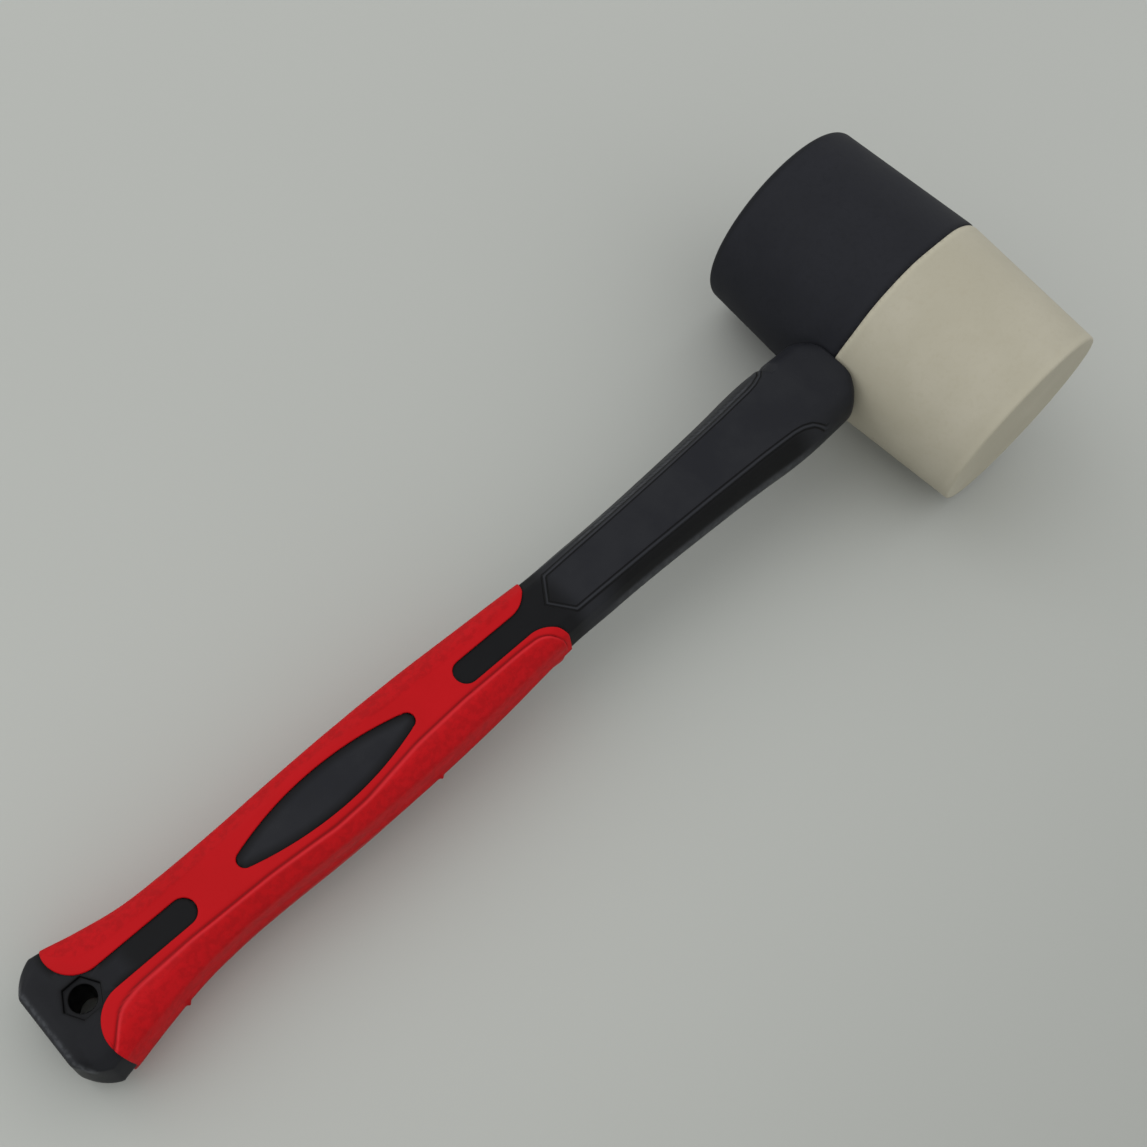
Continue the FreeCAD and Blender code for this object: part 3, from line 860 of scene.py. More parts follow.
@dataclass
class Head:
    """The two vulcanised halves: cone frusta that meet at their widest ring, with a cross eye.

    The eye is a round bore along X. Each half's shell starts at y0 = sqrt(eye^2 - z^2) where
    |z| is less than the eye's radius, and at the seam elsewhere.
    """

    axes: ToolAxes
    middle_radius: float = 30.0
    face_radius: float = 27.4
    eye_radius: float = 6.6
    black_length: float = 44.4
    white_length: float = 43.0
    black_rim: float = 2.8
    white_rim: float = 0.8
    seam_edge: float = 0.22
    seam_width: float = 0.35
    seam_wave: float = 0.09
    face_dish: float = 0.25

    def angles(self) -> Array:
        """Angles round Y from -90 to 90 degrees, with many across the eye's mouth."""
        share = self.eye_radius / self.middle_radius
        across = np.arcsin(share * np.sin(np.linspace(-math.pi / 2, math.pi / 2, 33)))
        outer = np.linspace(math.asin(share), math.pi / 2, 61)[1:]
        return np.concatenate([-outer[::-1], across, outer])

    def profile(self, length: float, rim: float) -> tuple[Array, Array]:
        """Radius against the distance from the seam, over the seam's edge, cone, rim and face.

        Args:
            length: Distance from the seam to the face.
            rim: Radius of the rim's rounding.

        Returns:
            Shares along Y from 0 to 1 with their radii, from the seam to the face's middle.
        """
        cone = math.atan2(self.middle_radius - self.face_radius, length)
        turn = np.linspace(0.0, math.pi / 2 - cone, 12)
        centre_y = length - rim
        reach = self.face_radius + (self.middle_radius - self.face_radius) * rim / length
        centre_r = reach - rim / math.cos(cone)
        arc_y = centre_y + rim * np.sin(cone + turn)
        arc_r = centre_r + rim * np.cos(cone + turn)
        start = np.linspace(0.0, 1.0, 46)[:-1]
        cone_y = start * arc_y[0]
        cone_r = self.middle_radius + (arc_r[0] - self.middle_radius) * start
        face_r = np.linspace(arc_r[-1], 0.0, 22)[1:]
        dish = self.face_dish * (1.0 - (face_r / arc_r[-1]) ** 2)
        face_y = np.full_like(face_r, length) - dish
        return np.concatenate([cone_y, arc_y, face_y]), np.concatenate([cone_r, arc_r, face_r])

    def half(self, name: str, side: float, length: float, rim: float) -> MeshBuilder:
        """Mesh of one half.

        Args:
            name: Name of the piece.
            side: +1 for the half on +Y, -1 for the half on -Y.
            length: Distance from the seam to the face.
            rim: Radius of the rim's rounding.

        Returns:
            The builder that holds the shell and the inner wall.
        """
        quarter = self.angles()
        angle = np.concatenate([quarter, math.pi - quarter[::-1][1:]])
        angle = np.concatenate([angle[:-1], [angle[0] + 2.0 * math.pi]])
        away, radius = self.profile(length, rim)
        height = self.middle_radius * np.sin(angle)
        mouth = np.sqrt(np.clip(self.eye_radius**2 - height**2, 0.0, None))
        cone_end = length - rim
        lift = mouth[:, None] * np.clip(1.0 - away / cone_end, 0.0, 1.0)[None, :]
        y = away[None, :] + lift
        fall = np.clip(y / cone_end, 0.0, 1.0)
        end_r = radius[np.searchsorted(away, cone_end)]
        cone_r = self.middle_radius + (end_r - self.middle_radius) * fall
        r = np.where(away[None, :] < cone_end, cone_r, radius[None, :])
        r = r - self.seam_edge * bell(y, self.seam_width)
        x, z = r * np.cos(angle)[:, None], r * np.sin(angle)[:, None]
        ripple = np.sin(7.0 * angle) + 0.6 * np.sin(11.0 * angle + 1.0)
        creep = self.seam_wave * ripple[:, None] * (1.0 - fall)
        grid = np.stack([x, y * side + creep, z], axis=-1)
        builder = MeshBuilder(name, self.axes)
        # Edge mark for painted edge shading, along the seam and round the rim.
        on_rim = bell(y - length + 1.2, 0.9) * (r > 0.9 * self.face_radius)
        edge = np.maximum(bell(y - 0.2, 0.7), min(rim * 0.3, 0.8) * on_rim)
        builder.add_grid(grid, edge=edge)
        self.inner_wall(builder, grid)
        return builder

    def inner_wall(self, builder: MeshBuilder, grid: Array) -> None:
        """Seam face and bore: straight lines along X between the shell's two edges at one z."""
        rim = grid[:, 0]
        count = len(rim)
        half = count // 2
        front = rim[: half + 1]
        back = rim[::-1][: half + 1]
        share = np.linspace(0.0, 1.0, 5)[None, :, None]
        wall = front[:, None] * (1.0 - share) + back[:, None] * share
        builder.add_grid(wall)

    def build(self) -> None:
        """Make and dress both halves."""
        # The fourth tone is painted shade along the black half's seam and rim.
        tones = "212227", "25262b", "1b1c20", "0c0d0f"
        black = MouldedRubber("black vulcanised rubber", *tones, specular=0.1)
        # The fourth tone is a painted highlight along the white half's seam and rim.
        tones = "aaa594", "b0ab9b", "a49d8a", "c2bda9"
        white = MouldedRubber("natural vulcanised rubber", *tones, specular=0.25, cloud_mm=22.0)
        piece = self.half("black_half", 1.0, self.black_length, self.black_rim)
        dress(piece.build("root", Slot.BLACK_RUBBER, "black_head_half"), black.make())
        piece = self.half("white_half", -1.0, self.white_length, self.white_rim)
        dress(piece.build("root", Slot.WHITE_RUBBER, "white_head_half"), white.make())


@dataclass(frozen=True)
class GripPlan:
    """Plan of the red skin: half widths of its windows and the ends of its lobes."""

    front_x: float = -133.0
    rear_x: float = -264.6
    front_round: float = 8.0
    rear_round: float = 7.6
    slot_half: float = 3.1
    front_tip: float = -161.2
    rear_tip: float = -234.8
    lens_x: float = -198.7
    lens_bow: float = 23.3
    lens_half: float = 5.4
    lens_tip_half: float = 1.9
    lens_tip_round: float = 2.0
    nose_reach: float = 5.8
    nose_spread: float = 4.9

    @property
    def nose_x(self) -> float:
        """Where the rear lobe's nose circle has its centre."""
        return self.rear_x + self.rear_round

    @property
    def nose_y(self) -> float:
        """How far the nose circle's centre is from the handle's axis."""
        return self.slot_half + self.rear_round

    @property
    def bow_radius(self) -> float:
        """Radius of the lens's two long arcs."""
        rise = self.lens_half - self.lens_tip_half
        return (self.lens_bow**2 + rise**2) / (2.0 * rise)

    @property
    def tip_centre(self) -> float:
        """Distance from the lens's middle to the centre of its tip circle."""
        return self.lens_bow - math.sqrt(self.lens_tip_round**2 - self.lens_tip_half**2)

    def tips(self) -> list[tuple[float, float]]:
        """The windows' closed tips: place, and +1 where the red lies ahead of it."""
        reach = self.tip_centre + self.lens_tip_round
        return [
            (self.rear_tip, 1.0),
            (self.lens_x - reach, -1.0),
            (self.lens_x + reach, 1.0),
            (self.front_tip, -1.0),
        ]

    def window(self, x: Array, grow: float = 0.0) -> Array:
        """Half width of the window at x: 0 on the bridges, and wide beyond the lobes.

        Args:
            x: Distances along the handle.
            grow: How far the outline is moved into the red.

        Returns:
            Half widths, of the same shape.
        """
        slot = self.slot_half + grow
        off = np.clip(self.front_tip + self.slot_half - x, 0.0, slot)
        front = np.sqrt(slot**2 - off**2) * (x > self.front_tip - grow)
        off = np.clip(x - self.rear_tip + self.slot_half, 0.0, slot)
        rear = np.sqrt(slot**2 - off**2) * (x < self.rear_tip + grow)
        lobe = self.front_round - grow
        past = np.clip(x - self.front_x + self.front_round, 0.0, lobe)
        front = front + (lobe - np.sqrt(lobe**2 - past**2))
        nose = self.rear_round - grow
        past = np.clip(self.nose_x - x, 0.0, nose)
        rear = rear + (nose - np.sqrt(nose**2 - past**2))
        bow = self.bow_radius + grow
        off = np.abs(x - self.lens_x)
        arc = np.sqrt(np.clip(bow**2 - off**2, 0.0, None)) - (self.bow_radius - self.lens_half)
        tip = self.lens_tip_round + grow
        end = np.sqrt(np.clip(tip**2 - np.clip(off - self.tip_centre, 0.0, None) ** 2, 0.0, None))
        lens = np.where(off < self.tip_centre, arc, np.minimum(arc, end))
        lens = np.where(off < self.tip_centre + tip, np.clip(lens, 0.0, None), 0.0)
        return np.maximum(np.maximum(front, rear), lens)

    def distance(self, x: Array, y: Array) -> Array:
        """Distance into the red from its nearest edge in plan, right near the edges.

        Args:
            x: Distances along the handle.
            y: Distances across it, of the same shape.

        Returns:
            Millimetres, positive in the red.
        """
        away = np.abs(y)
        centre = self.front_tip + self.slot_half
        front = np.where(x < centre, np.hypot(x - centre, y), away) - self.slot_half
        past = x - self.front_x + self.front_round
        short = np.clip(self.slot_half + self.front_round - away, 0.0, None)
        front = np.where(past > 0.0, self.front_round - np.hypot(past, short), front)
        centre = self.rear_tip - self.slot_half
        rear = np.where(x > centre, np.hypot(x - centre, y), away) - self.slot_half
        past = self.nose_x - x
        rear = np.where(past > 0.0, self.rear_round - np.hypot(past, away - self.nose_y), rear)
        off = np.abs(x - self.lens_x)
        bow = np.hypot(off, away + self.bow_radius - self.lens_half) - self.bow_radius
        tip = np.hypot(off - self.tip_centre, y) - self.lens_tip_round
        lens = np.where(off < self.lens_bow + (away - self.lens_tip_half) * 0.31, bow, tip)
        return np.minimum(np.minimum(front, rear), lens)


# Ridge where the side band stands proud of the top: (x, distance from the axis).
RIDGE_LINE = (
    (-264.6, 12.4),
    (-262.0, 9.6),
    (-259.0, 6.6),
    (-254.0, 5.5),
    (-240.0, 5.25),
    (-220.0, 6.0),
    (-203.0, 7.5),
    (-194.0, 7.35),
    (-178.0, 5.25),
    (-163.0, 4.6),
    (-146.0, 4.6),
    (-140.0, 4.9),
    (-137.2, 6.4),
    (-135.0, 9.3),
    (-133.0, 12.0),
)


# Mark of a place that lies well outside the neck's panel.
OFF_PANEL = -5.0

# Painted shade on each ring round the hang hole, in groups: the flat with the recess's lip, the
# recess's wall and foot, its floor, and the mouth of the bore.
PATCH_SHADE = (
    *(0.0, 0.0, 0.0, 0.1, 0.5, 0.6, 0.7, 0.8, 0.9, 0.9),
    *(1.0, 0.9, 0.6, 0.3),
    0.1,
    *(0.5, 0.7, 0.9, 1.0, 1.0),
)

# Half width of the neck's panel, turning outwards near the head.
PANEL_X = (-128.0, -103.0, -83.0, -64.6, -54.0, -51.0, -47.9, -44.4)
PANEL_Y = (5.4, 5.85, 6.4, 7.1, 7.75, 8.2, 9.2, 11.5)


def ridge_away(x: Array) -> Array:
    """The ridge's distance from the axis, its corners rounded by a Gaussian mean over x."""
    knots, away = np.array(RIDGE_LINE).T
    offsets = np.linspace(-3.6, 3.6, 13)
    weights = bell(offsets, 1.5)
    return sum(w * np.interp(x + d, knots, away) for w, d in zip(weights, offsets)) / weights.sum()


@dataclass
class Handle:
    """The jacket, one closed tube with the hang hole, and the red skin let into it.

    Sizes are in millimetres. A name that ends in rise or fall gives the two distances x between
    which a mark comes in or goes out. slope_z and face_z give the heights |z| at which the
    neck's upper slope and the grip's top face begin.
    """

    axes: ToolAxes
    form: HandleForm = field(default_factory=HandleForm)
    plan: GripPlan = field(default_factory=GripPlan)
    sunk: float = 0.45
    bed: float = 0.9
    skin_show: float = 0.9
    roll: float = 0.28
    head_radius: float = 30.0
    head_fall: float = 2.6 / 43.7
    hole_x: float = -263.0
    hole_radius: float = 2.85
    hex_flats: float = 7.6
    hex_depth: float = 1.2
    hex_lip: float = 0.3
    hex_foot: float = 0.25
    mouth_lip: float = 0.3
    patch_half: float = 6.2
    # Painted shade on the hang hole's patch and on the end caps.
    patch_shade: float = 0.35
    flat_share: float = 0.052
    notch_x: float = -45.0
    notch_depth: float = 0.9
    neck_rise: Range = (-124.0, -112.0)
    neck_fall: Range = (-46.0, -56.0)
    rib_rise: Range = (-112.0, -106.0)
    rib_fall: Range = (-52.0, -56.0)
    line_fall: Range = (-42.4, -45.6)
    slope_z: Range = (2.6, 3.4)
    face_z: Range = (1.5, 4.0)
    head_gap: float = 0.02
    ridge_height: float = 0.55
    burr_height: float = 0.5
    shear_fade: float = 12.0

    # -- jacket -------------------------------------------------------------------------------

    def jacket_rows(self) -> Array:
        """Distances of the jacket's rows, crowded at its two rounded ends."""
        butt, neck = self.form.butt_x, self.form.neck_x
        rear = arc_stations(butt, self.form.butt_edge, 10)
        front = arc_stations(neck, -self.form.neck_edge, 9)
        far = arc_stations(neck, -self.form.neck_corner, 14)
        low, high = self.hole_x - self.patch_half, self.hole_x + self.patch_half
        body = stations(
            (butt + self.form.butt_edge, low, 0.4),
            (low, high, 0.4),
            (high, -130.0, 0.62),
            (-130.0, neck - self.form.neck_corner, 0.62),
        )
        cut = np.linspace(self.notch_x - 0.7, self.notch_x + 0.1, 7)
        rows = np.unique(np.round(np.concatenate([rear, body, cut, far, front]), 5))
        return rows[np.concatenate(([True], np.diff(rows) > 0.012))]

    def jacket_inset(self, x: Array, y: Array) -> Array:
        """How far the jacket lies under the handle's form.

        It is sunk a little in the windows, more in the bed under the red skin, and comes out to
        the form beyond the grip's ends.
        """
        grip = self.plan
        out_front = smoothstep(grip.front_x, grip.front_x + 16.0, x)
        out_rear = smoothstep(grip.rear_x, grip.rear_x - 6.0, x)
        open_part = self.sunk * (1.0 - np.maximum(out_front, out_rear * 0.6))
        inside = smoothstep(0.15, 0.9, np.abs(y) - grip.window(x))
        inside = inside * smoothstep(grip.front_x - 1.0, grip.front_x - 1.6, x)
        inside = inside * smoothstep(grip.rear_x + 2.8, grip.rear_x + 3.6, x)
        step = smoothstep(self.notch_x - 0.6, self.notch_x, x)
        notch = step * smoothstep(self.notch_x + 3.0, self.notch_x, x) * smoothstep(7.6, 8.6, y)
        return open_part + (self.bed - self.sunk) * inside + self.notch_depth * notch

    def panel_marks(self, x: Array, y: Array, z: Array) -> dict[str, Array]:
        """Signed distance inside the neck's raised panel, where it shows, and where the ribs are.

        The panel's sides follow PANEL_X and PANEL_Y, its rear comes to a point on the axis, and
        its line fades out before the head.
        """
        side = np.interp(x, PANEL_X, PANEL_Y)
        off = side - np.abs(y)
        point = (x + 132.0) * 0.8 - np.abs(y) * 0.6
        inside = np.minimum(off, point)
        keep = smoothstep(*self.line_fall, x)
        top = np.abs(z) > 4.0
        panel = np.where(top, inside, OFF_PANEL)
        rib = stretch(self.rib_rise, self.rib_fall, x) * smoothstep(0.6, 1.2, y - side)
        rib = rib * smoothstep(*self.slope_z, np.abs(z))
        return {"panel": panel, "lined": keep * top, "ribbed": rib}

    def shade_marks(self, x: Array, y: Array, z: Array) -> dict[str, Array]:
        """Where painted shade and painted highlights go on the plastic.

        Painted shade is darkest in the gap along the red, then in the slots and on the neck's lower
        slope. Painted highlights lie along the butt's rounded edge, as a reflected strip low on the
        neck's -Y side and as a line on its upper slope.
        """
        plan, form, height = self.plan, self.form, np.abs(z)
        away = -plan.distance(x, y)
        past = np.maximum(x - plan.front_x, plan.rear_x - x)
        away = np.where(past > 0.0, np.maximum(away, past), away)
        front = smoothstep(-125.0, -131.0, x)
        # Painted shade: a dark line in the gap along the red skin's edge.
        gap = smoothstep(0.7, 0.1, away) * (x < plan.front_x + 2.0)
        lens = smoothstep(30.0, 27.0, np.abs(x - plan.lens_x))
        # Painted shade near the red's edges, through the slots and over the butt, darker towards
        # -Y.
        near = smoothstep(2.6, 0.3, away) * front
        slot = 0.78 * front * (1.0 - lens) * smoothstep(-256.0, -250.0, x)
        butt = smoothstep(-250.0, -256.0, x) * (0.3 + 0.3 * smoothstep(-2.0, -13.0, y))
        # Painted highlight along the butt's rounded edge, where it catches the light.
        edge = bell(form.butt_inside(x, y) - 0.9, 0.45)
        edge = edge * (x < form.butt_x + 12.0) * smoothstep(5.0, 7.0, height)
        # Painted shade on the neck's lower slope on -Y and, lighter, on its +Y side.
        neck = stretch(self.neck_rise, self.neck_fall, x)
        side = np.interp(x, PANEL_X, PANEL_Y)
        slope = smoothstep(*self.slope_z, height)
        lower = 0.9 * smoothstep(0.4, 1.2, -y - side) * slope * neck
        upper = 0.4 * (y > side + 0.5) * neck
        shade = np.maximum.reduce([0.75 * near, slot, butt, lower, upper])
        # Painted reflection in a strip low on the neck's -Y side, and a painted highlight line on
        # its +Y upper slope.
        under = 0.55 * bell(height - 1.2, 1.3) * (y < 0.0) * neck
        over = 0.8 * bell(y - side - 1.5, 0.25) * slope * neck
        return {"gap": gap, "shade": shade, "worn": np.maximum.reduce([0.8 * edge, under, over])}

    def jacket(self) -> MeshBuilder:
        """Mesh of the jacket."""
        x = self.jacket_rows()
        loop = self.form.loops(x)
        cut = self.flat_share
        flat = np.linspace(-cut, cut, 27)
        side = np.linspace(cut, 0.5 - cut, 57)[1:-1]
        s = np.concatenate([flat, side, 0.5 + flat, 0.5 + side])
        grid_s = np.broadcast_to(s, (len(x), len(s)))
        grid_x = np.broadcast_to(x[:, None], grid_s.shape)
        probe = self.form.surface(grid_x, loop, grid_s, np.zeros_like(grid_s))
        inset = self.jacket_inset(grid_x, probe[..., 1])
        ends = smoothstep(self.form.butt_x, self.form.butt_x + 1.0, grid_x)
        grid = self.cope(self.form.surface(grid_x, loop, grid_s, inset * ends))
        marks = self.panel_marks(*np.moveaxis(grid, -1, 0))
        marks |= self.shade_marks(*np.moveaxis(probe, -1, 0))
        builder = MeshBuilder("jacket", self.axes)
        low, high = self.hole_x - self.patch_half, self.hole_x + self.patch_half
        first = int(np.argmin(np.abs(x - low)))
        last = int(np.argmin(np.abs(x - high)))
        count = len(flat)
        top_end, bottom = count - 1, count + len(side)

        def part(rows: slice, columns: slice, wrap: bool = False) -> None:
            """Add a part of the grid with its marks."""
            chosen = {key: values[rows, columns] for key, values in marks.items()}
            builder.add_grid(grid[rows, columns], wrap=wrap, **chosen)

        part(slice(0, first + 1), slice(None), wrap=True)
        part(slice(last, None), slice(None), wrap=True)
        rows = slice(first, last + 1)
        part(rows, slice(top_end, bottom + 1))
        closing = np.concatenate([grid[rows, bottom + top_end :], grid[rows, :1]], axis=1)
        # Painted shade over the patch's closing strip, as over the butt.
        builder.add_grid(closing, panel=OFF_PANEL, shade=self.patch_shade)
        blocks = [grid[rows, start : start + count] for start in (0, bottom)]
        self.bore(builder, [self.hole_patch(builder, block) for block in blocks])
        for ring in (grid[0], grid[-1]):
            self.cap(builder, ring)
        builder.points = [self.form.settle(points) for points in builder.points]
        return builder

    def cope(self, grid: Array) -> Array:
        """Hold the neck's end just outside the head's curved flank."""
        y, z = grid[..., 1], grid[..., 2]
        flank = self.head_radius - self.head_fall * np.abs(y)
        limit = -np.sqrt(np.clip(flank**2 - z**2, 0.0, None)) - self.head_gap
        coped = grid.copy()
        coped[..., 0] = np.minimum(grid[..., 0], limit)
        return coped

    def cap(self, builder: MeshBuilder, ring: Array) -> None:
        """Close an end by drawing its ring in to its middle."""
        middle = ring.mean(axis=0)
        share = np.linspace(0.0, 1.0, 9)[:, None, None]
        rows = ring[None] * (1.0 - share) + middle[None, None] * share
        if middle[0] > self.form.butt_x / 2.0:
            flat = rows[1:].copy()
            flat[..., 0] = self.form.neck_x
            rows[1:] = self.cope(flat)
        # Painted shade on the end caps, as on the patch.
        builder.add_grid(rows, wrap=True, panel=OFF_PANEL, shade=self.patch_shade)

    def hole_patch(self, builder: MeshBuilder, block: Array) -> Array:
        """Flat round the hang hole, its hexagonal recess and floor, as rings.

        The outer ring is the block's own edge. Each inner ring is a hexagon or a circle at the
        same share of the turn, with the hexagon's corners held on the rings' own points.

        Args:
            builder: The jacket's builder.
            block: The part of the jacket's grid that the patch stands for.

        Returns:
            The mouth of the bore at the recess's floor, shape (n, 3).
        """
        sides = block[:-1, 0], block[-1, :-1], block[1:, -1][::-1], block[0, 1:][::-1]
        outer = np.concatenate(sides)
        angle = np.arctan2(outer[:, 1], outer[:, 0] - self.hole_x)
        order = np.argsort(angle)
        outer, angle = outer[order], angle[order]
        corners = np.arange(-3, 4) * math.pi / 3.0
        near = np.array([np.argmin(np.abs(angle - c)) for c in corners[1:-1]])
        shift = np.interp(angle, angle[near], corners[1:-1] - angle[near])
        angle = angle + shift
        fold = (angle + math.pi * 2.0) % (math.pi / 3.0) - math.pi / 6.0
        hexagon = self.hex_flats / 2.0 / np.cos(fold)
        up = np.sign(outer[:, 2].mean())
        height = np.abs(outer[:, 2]).mean()
        ray = np.stack([np.cos(angle), np.sin(angle)], axis=-1)

        def ring(radius: Array, z: float) -> Array:
            """Ring at those radii and that height."""
            flat = ray * np.broadcast_to(radius, angle.shape)[:, None] + [self.hole_x, 0.0]
            return np.concatenate([flat, np.broadcast_to(z * up, angle.shape)[:, None]], axis=1)

        def rolled(radius: Array, top: float, edge: float, count: int) -> list[Array]:
            """Rings over a rounded edge, from the flat round it to its upright wall."""
            turns = np.linspace(0.0, math.pi / 2, count)
            bends = [(edge * (1.0 - math.sin(a)), edge * (1.0 - math.cos(a))) for a in turns]
            return [ring(radius + out, top - down) for out, down in bends]

        rim = ring(hexagon + self.hex_lip, height)
        rings = [outer] + [outer * (1.0 - share) + rim * share for share in (0.3, 0.6, 0.85)]
        rings += rolled(hexagon, height, self.hex_lip, 6)
        floor, foot = height - self.hex_depth, self.hex_foot
        for turn in np.linspace(0.0, math.pi / 2, 4):
            inwards, over = foot * (1.0 - math.cos(turn)), foot * (1.0 - math.sin(turn))
            rings.append(ring(hexagon - inwards, floor + over))
        rings.append(ring(self.hole_radius + self.mouth_lip + 0.3, floor))
        rings += rolled(self.hole_radius, floor, self.mouth_lip, 5)
        # Painted shade in the recess and at the bore's mouth, ring by ring.
        dark = np.array(PATCH_SHADE)[:, None]
        marks = {"panel": OFF_PANEL, "gap": dark, "shade": self.patch_shade}
        builder.add_grid(np.stack(rings), wrap=True, **marks)
        return rings[-1]

    def bore(self, builder: MeshBuilder, mouths: list[Array]) -> None:
        """Join the two mouths of the hang hole by the bore's wall."""
        share = np.linspace(0.0, 1.0, 6)[:, None, None]
        wall = mouths[0][None] * (1.0 - share) + mouths[1][None] * share
        # Painted shade: the bore's wall is marked fully dark.
        builder.add_grid(wall, wrap=True, panel=OFF_PANEL, gap=1.0)

    # -- grip ---------------------------------------------------------------------------------

    def roll_steps(self) -> Array:
        """Distances from the outline at which the rolled edge is sampled, from 0 to its radius."""
        return self.roll * (1.0 - np.sin(np.linspace(math.pi / 2, 0.0, 5)))

    def roll_depth(self, distance: Array) -> Array:
        """Depth r - sqrt(r^2 - (r - d)^2) of the rolled edge at a distance d from the outline."""
        short = np.clip(self.roll - distance, 0.0, self.roll)
        return self.roll - np.sqrt(self.roll**2 - short**2)

    def grip_rows(self) -> Array:
        """Distances of the grip's rows before the rear shear, crowded at tips, ends and nibs."""
        plan = self.plan
        rear_end = self.side_end()
        pieces = [arc_stations(rear_end, plan.nose_reach, 16)]
        pieces.append(arc_stations(plan.front_x, -plan.front_round, 24))
        pieces += [rear_end + self.roll_steps(), plan.front_x - self.roll_steps()]
        for place, way in plan.tips():
            pieces.append(arc_stations(place, -way * 2.2, 9))
            pieces.append(place + way * self.roll_steps())
        pieces.append(stations((rear_end, plan.front_x, 0.9)))
        for burr_x, _ in self.burrs():
            pieces.append(stations((burr_x - 1.0, burr_x + 1.0, 0.2)))
        rows = np.unique(np.round(np.concatenate(pieces), 5))
        rows = rows[(rows >= rear_end - 1e-4) & (rows <= plan.front_x + 1e-4)]
        held = np.concatenate([[rear_end, plan.front_x], [place for place, _ in plan.tips()]])
        gap = np.abs(rows[:, None] - held[None, :]).min(axis=1)
        keep = np.concatenate(([True], np.diff(rows) > 0.015)) & ((gap > 0.012) | (gap < 1e-4))
        return rows[keep]

    def side_end(self) -> float:
        """Where the red skin ends on the silhouette, behind which only its noses reach."""
        return self.plan.nose_x - self.plan.nose_reach

    def shear(self, x: Array, y: Array) -> Array:
        """Rearward shift that draws the rear edge out to the nose circle.

        It is the circle's own bulge past the silhouette's end, faded out over shear_fade of
        length.
        """
        plan, end = self.plan, self.side_end()
        off = np.clip(np.abs(y) - plan.nose_y, 0.0, plan.nose_spread)
        bulge = np.sqrt(plan.rear_round**2 - off**2) - plan.nose_reach
        return np.clip(bulge, 0.0, None) * smoothstep(end + self.shear_fade, end, x)

    def burrs(self) -> list[tuple[float, float]]:
        """Nibs of flash on the parting line: (x, side)."""
        return [(-176.8, -1.0), (-248.1, -1.0), (-260.6, 1.0)]

    def relief(self, x: Array, y: Array, z: Array, side: float) -> Array:
        """Height of the red skin over the form: the proud side band, parting line and nibs."""
        height = np.zeros_like(x)
        if side < 0:
            past = np.abs(y) - ridge_away(x)
            on_face = smoothstep(*self.face_z, np.abs(z))
            fade = 1.0 - 0.75 * smoothstep(0.8, 5.0, past)
            step = self.ridge_height * smoothstep(-0.1, 0.5, past) * fade
            step = step - 0.2 * bell(past + 0.2, 0.28)
            height = height + step * on_face
        height = height + 0.1 * bell(z, 0.3) * (np.abs(z) < 2.0)
        for burr_x, burr_side in self.burrs():
            if burr_side == side:
                height = height + self.burr_height * bell(x - burr_x, 0.5) * bell(z, 0.4)
        return height

    def top_line(self, x: Array) -> Array:
        """The rows' distances on the top faces, after the rear shear."""
        return x - self.shear(x, np.zeros_like(x))

    def columns(self, x: Array, loop: Array) -> Array:
        """Places round the loop for one side of the skin, from the top window to the bottom one.

        The first columns follow the outline as it is moved into the red by the steps of the
        rolled edge. The next ones crowd round the ridge and end at the parting line.

        Args:
            x: The rows' distances, shape (n,).
            loop: The loops at the rows.

        Returns:
            Rising places s, shape (n, m).
        """
        quarter = self.form.samples // 4
        y_top = np.maximum.accumulate(loop[:, : quarter + 1, 0], axis=1)
        widest = y_top[:, -1]
        top_x = self.top_line(x)

        def place(away: Array) -> Array:
            """Places at those distances from the axis, 0 for none."""
            found = row_inverse(y_top, np.minimum(away, widest - 0.02)) / self.form.samples
            return np.where(away < 1e-6, 0.0, found)

        steps = self.roll_steps()
        edge = np.stack([place(self.plan.window(top_x, step)) for step in steps], axis=1)
        edge = np.minimum(edge, 0.232 + 0.001 * np.arange(edge.shape[1]))
        start = edge[:, -1]
        line = ridge_away(top_x)
        near = np.clip(place(np.maximum(line - 0.7, 0.01)), start + (0.24 - start) * 0.12, 0.24)
        far = np.clip(place(line + 1.1), near + (0.245 - near) * 0.1, 0.245)
        keys = np.stack([start, near, far, np.full_like(start, 0.25)], axis=1)
        spans = ((0.0, 8), (1.0, 9), (2.0, 14))
        share = np.concatenate([np.linspace(a, a + 1.0, count)[1:] for a, count in spans])
        inner = row_lookup(keys, np.broadcast_to(share, (len(x), len(share))))
        top = np.concatenate([edge, inner], axis=1)
        return np.concatenate([top, (0.5 - top[:, ::-1])[:, 1:]], axis=1)

    def skin_side(self, builder: MeshBuilder, side: float) -> None:
        """One side of the red skin, as a closed shell with rolled edges.

        Each row runs over the outside from the top window to the bottom one and back along the
        inside. The first and the last row are joined from the outside to the inside.

        Args:
            builder: The grip's builder.
            side: +1 or -1.
        """
        x = self.grip_rows()
        loop = self.form.loops(x)
        outside = self.columns(x, loop)
        s = outside if side > 0 else 1.0 - outside
        grid_x = np.broadcast_to(x[:, None], s.shape)
        level = self.form.surface(grid_x, loop, s, np.zeros_like(s))
        true_x = grid_x - self.shear(grid_x, level[..., 1])
        depth = self.roll_depth(self.plan.distance(true_x, level[..., 1]))
        lift = self.relief(true_x, level[..., 1], level[..., 2], side)
        middle = (outside < 1e-7) | (outside > 0.5 - 1e-7)
        shells = []
        for inset in (depth - lift, np.full_like(depth, self.skin_show)):
            points = self.form.surface(grid_x, loop, s, inset)
            points[..., 0] = true_x
            points[..., 1] = np.where(middle, 0.0, points[..., 1])
            shells.append(points)
        outer, inner = shells
        marks = {"side": self.side_mark(outer), "seam": bell(outer[..., 2], 0.35)}
        marks |= self.ridge_marks(outer, side)

        def twice(values: Array) -> Array:
            """A row's values on the outside and then back along the inside."""
            return np.concatenate([values, values[:, ::-1]], axis=1)

